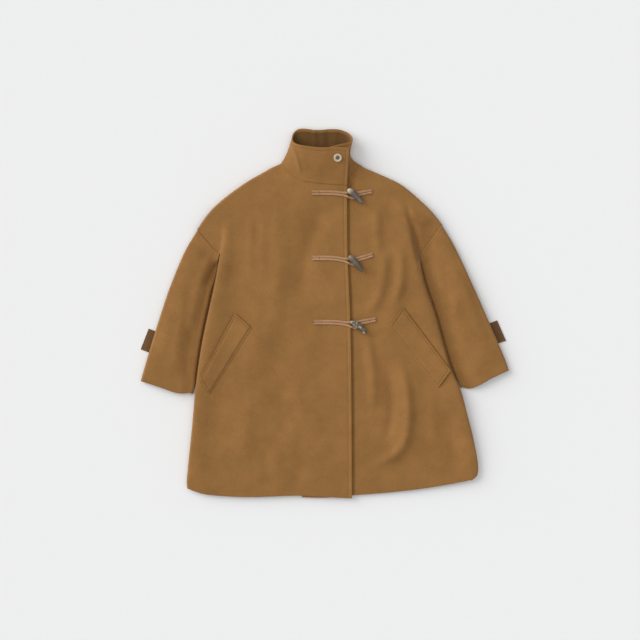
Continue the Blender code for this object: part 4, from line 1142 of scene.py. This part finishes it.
def nap_group():
    """Brushed wool: fibres that lie down the coat, small clumps and broad clouds of shade, and painted
    shade where a mark on the mesh darkens the collar's inside.
    """
    group, inlet, outlet = new_group("wool_nap", {
        "Colour": (COLOUR, (0.3, 0.15, 0.05, 1.0)),
        "Shade": (COLOUR, (0.2, 0.1, 0.03, 1.0)),
        "Fibre Scale": (NUMBER, 900.0),
        "Clouding": (NUMBER, 0.35),
        "Inside": (NUMBER, 0.0),
    }, {"Colour": COLOUR, "Roughness": NUMBER, "Height": NUMBER})
    place = add_node(group, "ShaderNodeTexCoord").outputs["Object"]
    lying = stretched_place(group, (1.0, 0.42, 1.0))
    fibres = noise(group, lying, inlet.outputs["Fibre Scale"], 3.0, 0.7)
    clump_scale = maths(group, "MULTIPLY", inlet.outputs["Fibre Scale"], 0.28)
    clumps = noise(group, place, clump_scale, 2.0)
    clouds = noise(group, place, 22.0, 3.0)
    speckle = spread(group, fibres, 0.32, 0.72)
    clumped = spread(group, clumps, 0.3, 0.7)
    clouded = spread(group, clouds, 0.3, 0.7)
    parts = []
    for value, weight in ((speckle, 0.36), (clumped, 0.13), (clouded, inlet.outputs["Clouding"])):
        parts.append(maths(group, "MULTIPLY", maths(group, "SUBTRACT", 1.0, value), weight))
    dark = maths(group, "ADD", maths(group, "ADD", parts[0], parts[1]), parts[2])
    outer = mix_colour(group, dark, inlet.outputs["Colour"], inlet.outputs["Shade"])
    # Painted shade: where the mesh is marked, the colour is mixed towards a much darker one.
    inner = mix_colour(group, 0.55, inlet.outputs["Shade"], (0.0, 0.0, 0.0, 1.0))
    colour = mix_colour(group, maths(group, "MULTIPLY", inlet.outputs["Inside"], 0.75), outer, inner)
    height = maths(group, "ADD", maths(group, "MULTIPLY", fibres, 0.6),
                   maths(group, "MULTIPLY", clumps, 0.4))
    rough = spread(group, clumps, 0.3, 0.7, 0.95, 0.82)
    return finish_group(group, outlet, {"Colour": colour, "Roughness": rough, "Height": height})


def grain_group():
    """Leather: fine cells, a few pores and soft patches, and a darker colour on marked edges that is
    partly the cut edges' own tone and partly painted shade.
    """
    group, inlet, outlet = new_group("leather_grain", {
        "Colour": (COLOUR, (0.37, 0.18, 0.085, 1.0)),
        "Edge Colour": (COLOUR, (0.56, 0.34, 0.19, 1.0)),
        "Edge": (NUMBER, 0.0),
        "Cell Scale": (NUMBER, 1400.0),
    }, {"Colour": COLOUR, "Roughness": NUMBER, "Height": NUMBER})
    place = add_node(group, "ShaderNodeTexCoord").outputs["Object"]
    cells = add_node(group, "ShaderNodeTexVoronoi", {
        "Vector": place, "Scale": inlet.outputs["Cell Scale"]}).outputs["Distance"]
    patches = spread(group, noise(group, place, 160.0, 3.0), 0.3, 0.7)
    edge = maths(group, "MULTIPLY", inlet.outputs["Edge"], spread(group, patches, 0.0, 1.0, 0.65, 1.0))
    toned = mix_colour(group, maths(group, "MULTIPLY", patches, 0.35), inlet.outputs["Colour"],
                       inlet.outputs["Edge Colour"])
    colour = mix_colour(group, edge, toned, inlet.outputs["Edge Colour"])
    rough = spread(group, patches, 0.0, 1.0, 0.6, 0.45)
    return finish_group(group, outlet, {"Colour": colour, "Roughness": rough, "Height": cells})


def streak_group():
    """Horn and shell: long soft streaks, clouds and a paler part by a mark on the mesh."""
    group, inlet, outlet = new_group("streaks", {
        "Colour": (COLOUR, (0.19, 0.155, 0.11, 1.0)),
        "Dark Colour": (COLOUR, (0.035, 0.026, 0.018, 1.0)),
        "Pale Colour": (COLOUR, (0.56, 0.49, 0.36, 1.0)),
        "Pale": (NUMBER, 0.0),
        "Pale Veins": (NUMBER, 0.0),
        "Darkness": (NUMBER, 0.5),
        "Scale": (NUMBER, 130.0),
    }, {"Colour": COLOUR, "Roughness": NUMBER, "Height": NUMBER})
    lying = stretched_place(group, (1.0, 1.0, 2.2))
    turned = add_node(group, "ShaderNodeVectorRotate", {
        "Vector": lying, "Axis": (0.0, 0.0, 1.0), "Angle": math.radians(48.0)}).outputs["Vector"]
    narrow = add_node(group, "ShaderNodeMapping", {
        "Vector": turned, "Scale": (0.22, 1.0, 1.0)}).outputs["Vector"]
    streaks = spread(group, noise(group, narrow, inlet.outputs["Scale"], 4.0, 0.62), 0.34, 0.68)
    cloud_scale = maths(group, "MULTIPLY", inlet.outputs["Scale"], 0.45)
    clouds = spread(group, noise(group, lying, cloud_scale, 2.0), 0.3, 0.72)
    dark = maths(group, "MULTIPLY", streaks, clouds)
    dark = maths(group, "MULTIPLY", dark, inlet.outputs["Darkness"])
    body = mix_colour(group, dark, inlet.outputs["Colour"], inlet.outputs["Dark Colour"])
    pale = maths(group, "MULTIPLY", inlet.outputs["Pale"], spread(group, streaks, 0.0, 1.0, 1.0, 0.55))
    veins = maths(group, "MULTIPLY", spread(group, clouds, 0.45, 0.0), inlet.outputs["Pale Veins"])
    pale = maths(group, "MAXIMUM", pale, maths(group, "MULTIPLY", veins, 0.75))
    colour = mix_colour(group, pale, body, inlet.outputs["Pale Colour"])
    rough = spread(group, clouds, 0.0, 1.0, 0.42, 0.26)
    return finish_group(group, outlet, {"Colour": colour, "Roughness": rough, "Height": streaks})


def with_alpha(colour):
    return (*colour, 1.0)


def surface(name, group, values, bump, depth, sheen=0.0, coat=0.0, marks=None):
    """A material whose colour, roughness and relief come from a node group."""
    made = bpy.data.materials.get(name)
    if made:
        return made
    made = bpy.data.materials.new(name)
    made.use_nodes = True
    tree = made.node_tree
    shader = tree.nodes["Principled BSDF"]
    effect = tree.nodes.new("ShaderNodeGroup")
    effect.node_tree = bpy.data.node_groups[group]
    for key, value in values.items():
        effect.inputs[key].default_value = value
    for key, mark in (marks or {}).items():
        attribute = add_node(tree, "ShaderNodeAttribute", attribute_name=mark)
        tree.links.new(attribute.outputs["Fac"], effect.inputs[key])
    relief = add_node(tree, "ShaderNodeBump", {"Strength": bump, "Distance": depth * MM,
                                              "Height": effect.outputs["Height"]})
    tree.links.new(effect.outputs["Colour"], shader.inputs["Base Color"])
    tree.links.new(effect.outputs["Roughness"], shader.inputs["Roughness"])
    tree.links.new(relief.outputs["Normal"], shader.inputs["Normal"])
    shader.inputs["Sheen Weight"].default_value = sheen
    shader.inputs["Sheen Roughness"].default_value = 0.5
    shader.inputs["Sheen Tint"].default_value = (1.0, 0.82, 0.62, 1.0)
    shader.inputs["Coat Weight"].default_value = coat
    shader.inputs["Coat Roughness"].default_value = 0.2
    shader.inputs["Specular IOR Level"].default_value = 0.25 if sheen else 0.5
    return made


def finish(kind):
    """One of the coat's finishes, built when it is first asked for."""
    cloth = bpy.context.scene.coat_cloth
    trim = bpy.context.scene.coat_trim
    for name, build in (("wool_nap", nap_group), ("leather_grain", grain_group),
                        ("streaks", streak_group)):
        if name not in bpy.data.node_groups:
            build()
    # The tan wool reads the mark that paints shade on the collar's inside.
    if kind == "wool":
        return surface("tan_wool", "wool_nap", {
            "Colour": with_alpha(cloth.wool), "Shade": with_alpha(cloth.wool_shade)},
            0.4, 0.5, sheen=0.25, marks={"Inside": "inside"})
    if kind == "dark_wool":
        return surface("dark_brown_wool", "wool_nap", {
            "Colour": with_alpha(cloth.tab_wool), "Shade": with_alpha(cloth.tab_shade)},
            0.5, 0.5, sheen=0.1)
    if kind == "thread":
        return surface("tan_thread", "wool_nap", {
            "Colour": with_alpha(cloth.thread), "Shade": with_alpha(cloth.wool_shade),
            "Fibre Scale": 2500.0}, 0.3, 0.1, sheen=0.05)
    if kind == "tab_thread":
        return surface("light_thread", "wool_nap", {
            "Colour": with_alpha(cloth.tab_thread), "Shade": with_alpha(cloth.thread),
            "Fibre Scale": 2500.0}, 0.3, 0.1, sheen=0.05)
    # The leather reads the edge mark: partly the cut edges' tone, partly painted shade.
    if kind == "leather":
        return surface("leather_thong", "leather_grain", {
            "Colour": with_alpha(trim.leather), "Edge Colour": with_alpha(trim.leather_edge_and_shade)},
            0.35, 0.2, marks={"Edge": "edge"})
    if kind == "shell":
        return surface("polished_shell", "streaks", {
            "Colour": with_alpha(trim.shell_dark), "Dark Colour": with_alpha(trim.horn_dark),
            "Pale Colour": with_alpha(trim.shell), "Darkness": 0.7, "Scale": 420.0},
            0.1, 0.1, coat=0.5, marks={"Pale": "pale"})
    darkness, contrast, scale = {"horn_top": (0.6, 0.25, 130.0), "horn_middle": (0.8, 0.15, 130.0),
                                 "horn_bottom": (1.0, 1.6, 300.0)}[kind]
    return surface(kind, "streaks", {
        "Colour": with_alpha(trim.horn), "Dark Colour": with_alpha(trim.horn_dark),
        "Pale Colour": with_alpha(trim.horn_pale), "Darkness": darkness, "Pale Veins": contrast,
        "Scale": scale}, 0.2, 0.15, coat=0.2, marks={"Pale": "pale"})


# ---- fasteners -----------------------------------------------------------------------------------
def thong_path(route, eye, neck):
    """A thong folded in two along a route, whose fold opens into an eye of the given half width."""
    line = smooth_curve(route, even(61))
    place = lengths_along(line)
    aside = outward_normals(line, 1.0)
    straight = 0.5 * THONG_PITCH
    length = place[-1]
    widest = length - eye
    distance = np.concatenate([np.linspace(0.0, length - neck, 5),
                               np.linspace(length - neck, widest, 7)[1:]])
    half = straight + (eye - straight) * blend(distance, length - neck, widest)
    turn = np.radians(np.linspace(75.0, 0.0, 6))
    distance = np.concatenate([distance, widest + eye * np.cos(turn)])
    half = np.concatenate([half, eye * np.sin(turn)])
    middle = between(line, place, distance)
    side = unit(between(aside, place, distance))
    out = middle + half[:, None] * side
    back = middle[:-1] - half[:-1, None] * side[:-1]
    return np.vstack([out, back[::-1]])


def make_thong(name, path, height_under, cloth):
    line = smooth_curve(path, even(141))
    normal = outward_normals(line, 1.0)
    offsets = np.linspace(-1.0, 1.0, 7)
    plan = line[:, None, :] + normal[:, None, :] * (0.5 * THONG_WIDTH * offsets)[None, :, None]
    thickness = LEATHER - THONG_THIN + THONG_CROWN * (1.0 - offsets ** 2)
    thickness = np.tile(thickness, (len(line), 1))
    height = height_under(plan[:, :, 0], plan[:, :, 1], cloth) + 0.5 * thickness
    grid = np.dstack([plan, height])
    # The outer part of each strand's top is marked darker: partly the leather's cut edge, partly painted
    # shade where the strand turns down.
    edge = np.tile(blend(np.abs(offsets), 0.6, 1.0), (len(line), 1))
    piece = shell(name + "_thong", grid, thickness, finish("leather"), "leather",
                  marks={"edge": (edge, edge)})
    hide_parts(name)


def make_toggle(fastener, head, tip, cloth):
    """A curved horn toggle that lies on its loop, thickest near its head."""
    run = unit(tip - head)
    side = np.array([-run[1], run[0]])
    widest = 0.5 * TOGGLE_WIDTH
    over_loop = head + np.linspace(0.25, 0.7, 8)[:, None] * (tip - head)
    under = float(np.max(loop_height(over_loop[:, 0], over_loop[:, 1], cloth))) + LEATHER + SEAM
    share = 0.5 - 0.5 * np.cos(math.pi * even(41))
    bend = fastener["bend"] * (4.0 * share * (1.0 - share) - 0.5)
    plan = head + (tip - head) * share[:, None] + side * bend[:, None]
    spine = np.column_stack([plan, np.full(len(share), under + TOGGLE_FLATNESS * widest)])
    tangent = unit(np.gradient(spine, axis=0))
    round_end = np.sqrt(np.clip(1.0 - np.abs(2.0 * share - 1.0) ** 4, 0.0, 1.0))
    radii = widest * round_end * (1.0 - TOGGLE_TAPER * blend(share, 0.35, 1.0))
    upward = np.array([0.0, 0.0, 1.0])
    segments = 28
    rings = []
    for point, forward, radius in list(zip(spine, tangent, radii))[1:-1]:
        rings.append(ring_of_points(point, np.cross(upward, forward), upward, radius,
                                    TOGGLE_FLATNESS * radius, segments))
    points = np.vstack([[spine[0]], *rings, [spine[-1]]])
    faces = faces_of_rings(len(rings), segments)
    pale_end = fastener["pale"] * (1.0 - blend(share, 0.08, 0.32))
    pale = np.concatenate([[pale_end[0]], np.repeat(pale_end[1:-1], segments), [pale_end[-1]]])
    name = "toggle_" + fastener["name"]
    piece = add_mesh(name + "_horn", points, faces, finish("horn_" + fastener["name"]),
                     {"pale": pale})
    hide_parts(name)


def make_fastener(fastener, settings):
    cloth = settings.thickness / MM
    name = fastener["name"]
    head = np.array([fastener["head_x"], fastener["head_y"]])
    tip = np.array([fastener["tip_x"], fastener["tip_y"]])
    start = np.array([fastener["loop_x"], fastener["loop_y"]])
    waist = head + fastener["loop"] * (tip - head)
    level = start + (LOOP_LEVEL - LOOP_BEND, 0.0)
    knee = start + (LOOP_LEVEL, LOOP_EARLY * (waist - start)[1])
    end = waist + unit(waist - knee) * LOOP_PAST
    loop = thong_path([start, level, knee, end], LOOP_HALF_WIDTH, LOOP_NECK)
    make_thong("toggle_loop_" + name, loop, loop_height, cloth)
    strap_start = np.array((fastener["strap_x"], fastener["strap_y"]))
    hold = head + fastener["strap"] * (tip - head)
    strap = thong_path([strap_start, hold], 0.5 * THONG_PITCH, STRAP_NECK)
    make_thong("toggle_strap_" + name, strap, strap_height, cloth)
    make_toggle(fastener, head, tip, cloth)
    upward = np.array([0.0, 0.0, 1.0])
    for kind, origin, aim, height_under, reach in (("loop", start, knee, loop_height, 18.0),
                                                   ("strap", strap_start, hold, strap_height, 16.0)):
        run = unit(aim - origin)
        side = np.array([-run[1], run[0]])
        half = THONG_PITCH * 0.5 + THONG_WIDTH * 0.5 - THONG_INSET
        corners = [(THONG_INSET, -half), (reach, -half), (reach, half), (THONG_INSET, half)]
        corners.append(corners[0])
        frame_line = np.vstack([
            origin + run * (a[0] + (b[0] - a[0]) * t) + side * (a[1] + (b[1] - a[1]) * t)
            for a, b in zip(corners[:-1], corners[1:]) for t in even(9)[:-1]])
        high = height_under(frame_line[:, 0], frame_line[:, 1], cloth) + LEATHER
        path = np.column_stack([frame_line, high])
        stitches("stitching_" + kind + "_" + name, path, np.tile(upward, (len(path), 1)), settings,
                 finish("thread"), sink=-0.05)


# ---- operators -----------------------------------------------------------------------------------
class COAT_OT_stage(bpy.types.Operator):
    """Lay out the floor, the soft light and the camera straight above"""

    bl_idname = "coat.stage"
    bl_label = "Stage"

    def execute(self, context):
        settings = context.scene.coat_stage
        bpy.ops.mesh.primitive_plane_add(size=14.0, location=(0.0, 0.0, -0.0004))
        floor = context.object
        floor.name = "floor"
        made = bpy.data.materials.new("pale_floor")
        made.use_nodes = True
        shader = made.node_tree.nodes["Principled BSDF"]
        shader.inputs["Base Color"].default_value = with_alpha(settings.floor)
        shader.inputs["Roughness"].default_value = 0.9
        shader.inputs["Specular IOR Level"].default_value = 0.1
        floor.data.materials.append(made)

        world = bpy.data.worlds.new("soft_sky")
        world.use_nodes = True
        sky = world.node_tree.nodes["Background"]
        sky.inputs["Color"].default_value = (1.0, 0.99, 0.975, 1.0)
        sky.inputs["Strength"].default_value = settings.sky
        context.scene.world = world

        for name, energy, towards, spread_angle, colour in (
                ("window", settings.window, (-0.80, 0.42, 0.45), 50.0, (1.0, 0.985, 0.96)),
                ("overhead", settings.overhead, (0.08, -0.06, 1.0), 75.0, (1.0, 1.0, 1.0))):
            light = bpy.data.lights.new(name, "SUN")
            light.energy = energy
            light.angle = math.radians(spread_angle)
            light.color = colour
            lamp = bpy.data.objects.new(name, light)
            lamp.rotation_euler = Vector(towards).to_track_quat("Z", "Y").to_euler()
            context.scene.collection.objects.link(lamp)

        camera = bpy.data.cameras.new("camera")
        camera.sensor_width = 36.0
        camera.lens = camera.sensor_width * settings.camera_height / settings.frame_width
        camera_object = bpy.data.objects.new("camera", camera)
        camera_object.location = (*settings.aim, settings.camera_height)
        context.scene.collection.objects.link(camera_object)
        context.scene.camera = camera_object
        context.scene.view_settings.view_transform = "Standard"
        return {"FINISHED"}


class COAT_OT_body(bpy.types.Operator):
    """Make the back and both fronts, with the topstitching along the front edge"""

    bl_idname = "coat.body"
    bl_label = "Body"

    def execute(self, context):
        settings = context.scene.coat_cloth
        cloth = settings.thickness / MM
        step = settings.mesh_step / MM
        make_back(cloth, 2.0 * step, finish("wool"))
        for side, below in (("left", "back_cloth"), ("right", "front_left_cloth")):
            grid = front_grid(side, cloth, step)
            cloth_piece("front_" + side, grid, cloth, finish("wool"), rim=sewn_rim(grid))
        y = np.linspace(299.0, -440.0, 400)
        x = front_edge_x(y) - STITCH_INSET
        z = front_height(x, y, "right") + 0.5 * cloth - GROOVE_DEPTH
        up = np.tile([0.0, 0.0, 1.0], (len(y), 1))
        stitches("stitching_front_edge", np.column_stack([x, y, z]), up, settings, finish("thread"))
        return {"FINISHED"}


class COAT_OT_sleeves(bpy.types.Operator):
    """Make both sleeves from an upper and an under panel each"""

    bl_idname = "coat.sleeves"
    bl_label = "Sleeves"

    def execute(self, context):
        settings = context.scene.coat_cloth
        for side in ("right", "left"):
            make_sleeve(side, settings.thickness / MM, settings.mesh_step / MM, finish("wool"))
        return {"FINISHED"}


class COAT_OT_collar(bpy.types.Operator):
    """Make the stand collar with its topstitching"""

    bl_idname = "coat.collar"
    bl_label = "Collar"

    def execute(self, context):
        settings = context.scene.coat_cloth
        cloth = settings.thickness / MM
        grid = collar_grid()
        from_foot, from_top, from_front = collar_distances(grid)
        relief = collar_relief(grid, from_foot, from_top, from_front)
        normals = grid_normals(grid)
        outside = np.where(normals[0, 0, 2] > 0.0, 1.0, -1.0)
        grid = grid + outside * normals * relief[:, :, None]
        # Painted shade: the collar's inner layer is marked to be painted darker below its top edge.
        inside = blend(from_top, *INSIDE_SHADE)
        layers = (0.0 * inside, inside) if outside > 0.0 else (inside, 0.0 * inside)
        cloth_piece("collar", grid, cloth, finish("wool"),
                    rim=sewn_rim(grid), marks={"inside": layers})
        rows, columns = from_top.shape
        top_row = [np.interp(-STITCH_INSET, -from_top[:, column], np.arange(rows))
                   for column in range(columns)]
        first = float(np.interp(STITCH_INSET, from_front[rows // 2], np.arange(columns)))
        column = np.linspace(first, columns - 2.0, 3 * columns)
        row = np.interp(column, np.arange(columns), top_row)
        self.sew("stitching_collar_top", grid, row, column, outside, settings)
        self.sew("stitching_collar_inside", grid, row, column, -outside, settings)
        row = np.linspace(1.0, top_row[int(first)], 60)
        column = [np.interp(STITCH_INSET, from_front[int(r)], np.arange(columns)) for r in row]
        self.sew("stitching_collar_front", grid, row, np.array(column), outside, settings)
        return {"FINISHED"}

    def sew(self, name, grid, rows, columns, outside, settings):
        """Sew a row of stitches on the outside of the collar."""
        point, _ = on_grid(grid, rows, columns)
        normals = grid_normals(grid) * outside
        row = np.clip(np.round(rows).astype(int), 0, grid.shape[0] - 1)
        column = np.clip(np.round(columns).astype(int), 0, grid.shape[1] - 1)
        sew(name, point, normals[row, column], settings)


class COAT_OT_welts(bpy.types.Operator):
    """Make the two slanted pocket welts with their stitching"""

    bl_idname = "coat.welts"
    bl_label = "Pocket welts"

    def execute(self, context):
        settings = context.scene.coat_cloth
        cloth = settings.thickness / MM
        for side in ("right", "left"):
            top, right, bottom, left = [np.array(corner) for corner in WELT[side]]
            along = even(141)[:, None, None]
            across = even(49)[None, :, None]
            plan = ((1.0 - along) * ((1.0 - across) * top + across * right)
                    + along * ((1.0 - across) * left + across * bottom))
            width = np.linalg.norm(right - top)
            length = np.linalg.norm(left - top)
            near_end = np.minimum(along, 1.0 - along)[:, :, 0] * length
            near_mouth = across[:, :, 0] * width
            near_body = width - near_mouth
            near_edge = np.minimum(np.minimum(near_end, near_mouth), near_body)
            height = top_of_front(plan[:, :, 0], plan[:, :, 1], side, cloth) + WELT_ROOM + 0.5 * cloth
            height = height + groove(near_edge - WELT_INSET)
            height = height + WELT_EDGE * bell(near_edge - WELT_EDGE_PLACE * WELT_INSET, WELT_EDGE_WIDTH)
            height = height - (cloth + WELT_ROOM) * (1.0 - blend(near_body, 0.0, WELT_SLOPE))
            grid = np.dstack([plan, height])
            name = "pocket_welt_" + side
            cloth_piece(name, grid, cloth, finish("wool"))
            last_row, last_column = len(along) - 1.0, across.size - 1.0
            row_inset = last_row * WELT_INSET / length
            column_inset = last_column * WELT_INSET / width
            rows = np.linspace(row_inset, last_row - row_inset, 90)
            columns = np.linspace(column_inset, last_column - column_inset, 40)
            for part, row, column in (("mouth", rows, np.full(90, column_inset)),
                                      ("inner", rows, np.full(90, last_column - column_inset)),
                                      ("top", np.full(40, row_inset), columns),
                                      ("bottom", np.full(40, last_row - row_inset), columns)):
                sew("stitching_" + name + "_" + part, *on_grid(grid, row, column), settings)
        return {"FINISHED"}


class COAT_OT_tabs(bpy.types.Operator):
    """Make the two dark cuff tabs that stick out of the outer sleeve seams"""

    bl_idname = "coat.tabs"
    bl_label = "Cuff tabs"

    def execute(self, context):
        settings = context.scene.coat_cloth
        for side in ("right", "left"):
            name = "cuff_tab_" + side
            corners = [np.array(corner) for corner in CUFF_TAB[side]]
            upper_inner, upper_outer, lower_outer, lower_inner = corners
            facing = FACING[side]
            along = even(31)[:, None, None]
            across = even(17)[None, :, None]
            inner = (1.0 - along) * upper_inner + along * lower_inner
            outer = (1.0 - along) * upper_outer + along * lower_outer
            reach = sleeve_reach(SLEEVE_ROWS)
            insets = (UNDER_INSET * reach + 0.5 * settings.thickness / MM, reach)
            under_edge = sleeve_edges(side, SLEEVE_ROWS, even(5), insets, 0.0)[2]
            reached = np.interp(-inner[:, 0, 1], -under_edge[:, 1], under_edge[:, 0])
            inner[:, 0, 0] = reached + facing * 1.15 * SEAM
            plan = (1.0 - across) * inner + across * outer
            width = np.linalg.norm(upper_outer - upper_inner)
            length = np.linalg.norm(lower_outer - upper_outer)
            near_side = np.minimum(along, 1.0 - along)[:, :, 0] * length
            near_end = (1.0 - across)[:, :, 0] * width
            thickness = TAB_THICKNESS + groove(np.minimum(near_side, near_end) - TAB_INSET)
            grid = np.dstack([plan, 0.5 * thickness])
            cloth_piece(name, grid, thickness, finish("dark_wool"), slot="dark_wool")
            last_row, last_column = len(along) - 1.0, across.size - 1.0
            row_inset = last_row * TAB_INSET / length
            column_inset = last_column * TAB_INSET / width
            out = np.linspace(0.3 * last_column, last_column - column_inset, 30)
            rows = np.concatenate([np.full(30, row_inset),
                                   np.linspace(row_inset, last_row - row_inset, 30),
                                   np.full(30, last_row - row_inset)])
            columns = np.concatenate([out, np.full(30, last_column - column_inset), out[::-1]])
            point, normal = on_grid(grid, rows, columns)
            top = point + (0.5 * TAB_THICKNESS - 0.5 * GROOVE_DEPTH) * normal
            stitches("stitching_" + name, top, normal, settings, finish("tab_thread"),
                     sink=0.0)
        return {"FINISHED"}


class COAT_OT_fasteners(bpy.types.Operator):
    """Make the three leather loops, their straps and the horn toggles"""

    bl_idname = "coat.fasteners"
    bl_label = "Fasteners"

    def execute(self, context):
        for row in FASTENERS:
            make_fastener(dict(zip(FASTENER_COLUMNS, row)), context.scene.coat_cloth)
        return {"FINISHED"}


class COAT_OT_button(bpy.types.Operator):
    """Make the four-hole button on the collar"""

    bl_idname = "coat.button"
    bl_label = "Collar button"

    def execute(self, context):
        cloth = context.scene.coat_cloth.thickness / MM
        centre, normal = on_top_lap(collar_grid(), *COLLAR_BUTTON)
        base = centre + normal * (0.5 * cloth + SEAM + BUTTON_ROOM)
        side = unit(np.cross(normal, [0.0, 1.0, 0.0]))
        other = np.cross(normal, side)
        rim = 0.5 * context.scene.coat_trim.button_diameter / MM
        thick = BUTTON_THICKNESS
        well = thick - BUTTON_WELL
        outside = [(rim - 2.0, 0.0), (rim - 0.8, 0.1), (rim - 0.2, 0.7), (rim, 0.5 * thick),
                   (rim - 0.2, thick - 0.7), (rim - 0.8, thick - 0.1), (rim - 2.2, thick),
                   (rim - 4.3, thick - 0.1), (rim - 5.0, thick - 0.5), (rim - 5.5, well + 0.15)]
        profile = outside + [(radius, well) for radius in np.linspace(rim - 5.9, 0.25, 22)]
        holes = BUTTON_HOLE_PLACE * np.array([(1.0, 1.0), (-1.0, 1.0), (-1.0, -1.0), (1.0, -1.0)])
        segments = 96
        rings = []
        for radius, high in profile:
            ring = ring_of_points(np.zeros(3), np.array([1.0, 0.0, 0.0]), np.array([0.0, 1.0, 0.0]),
                                  radius, radius, segments)
            apart = np.linalg.norm(ring[:, None, :2] - holes[None], axis=2).min(axis=1)
            pit = BUTTON_HOLE_DEPTH * (1.0 - blend(apart, 0.8 * BUTTON_HOLE, BUTTON_HOLE))
            pit = pit * (high >= well)
            rings.append(base + ring[:, :1] * side + ring[:, 1:2] * other
                         + (high - pit)[:, None] * normal)
        points = np.vstack([[base], *rings, [base + normal * well]])
        faces = faces_of_rings(len(rings), segments)
        pale = np.array([1.0] * 8 + [0.6, 0.2] + [0.0] * 22)
        button = add_mesh("collar_button_shell", points, faces, finish("shell"),
                          {"pale": np.concatenate([[1.0], np.repeat(pale, segments), [0.0]])})
        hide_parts("collar_button")
        arch = 0.35 * np.sin(math.pi * even(9)) + well + 0.1
        for number, (first, second) in enumerate(((0, 2), (1, 3))):
            plan = holes[first] + (holes[second] - holes[first]) * even(9)[:, None]
            path = base + plan[:, :1] * side + plan[:, 1:] * other + arch[:, None] * normal
            aside = unit(side - other * (1 - 2 * number))
            tube_rings = [ring_of_points(point, aside, normal, BUTTON_THREAD, BUTTON_THREAD, 8)
                          for point in path[1:-1]]
            tube = np.vstack([path[:1], *tube_rings, path[-1:]])
            add_mesh("button_thread_" + str(number + 1), tube, faces_of_rings(len(tube_rings), 8),
                     finish("thread"))
        return {"FINISHED"}


class COAT_PT_panel(bpy.types.Panel):
    """Lists the coat's pieces and their settings"""

    bl_idname = "COAT_PT_panel"
    bl_label = "Duffle coat"
    bl_space_type = "VIEW_3D"
    bl_region_type = "UI"
    bl_category = "Coat"

    def draw(self, context):
        for operator in OPERATORS:
            self.layout.operator(operator.bl_idname)
        for key in SETTINGS:
            box = self.layout.box()
            group = getattr(context.scene, key)
            for name in group.bl_rna.properties.keys():
                if name not in ("rna_type", "name"):
                    box.prop(group, name)


OPERATORS = (COAT_OT_stage, COAT_OT_body, COAT_OT_sleeves, COAT_OT_collar, COAT_OT_welts,
             COAT_OT_tabs, COAT_OT_fasteners, COAT_OT_button)
SETTINGS = {"coat_cloth": CoatCloth, "coat_trim": CoatTrim, "coat_stage": CoatStage}


def register():
    for made in (*SETTINGS.values(), *OPERATORS, COAT_PT_panel):
        bpy.utils.register_class(made)
    for key, group in SETTINGS.items():
        setattr(bpy.types.Scene, key, bpy.props.PointerProperty(type=group))


def unregister():
    for key in SETTINGS:
        delattr(bpy.types.Scene, key)
    for made in (COAT_PT_panel, *reversed(OPERATORS), *SETTINGS.values()):
        bpy.utils.unregister_class(made)


def main():
    """Make every piece."""
    register()
    bpy.ops.coat.stage()
    bpy.ops.coat.body()
    bpy.ops.coat.sleeves()
    bpy.ops.coat.collar()
    bpy.ops.coat.welts()
    bpy.ops.coat.tabs()
    bpy.ops.coat.fasteners()
    bpy.ops.coat.button()


if __name__ == "__main__":
    main()
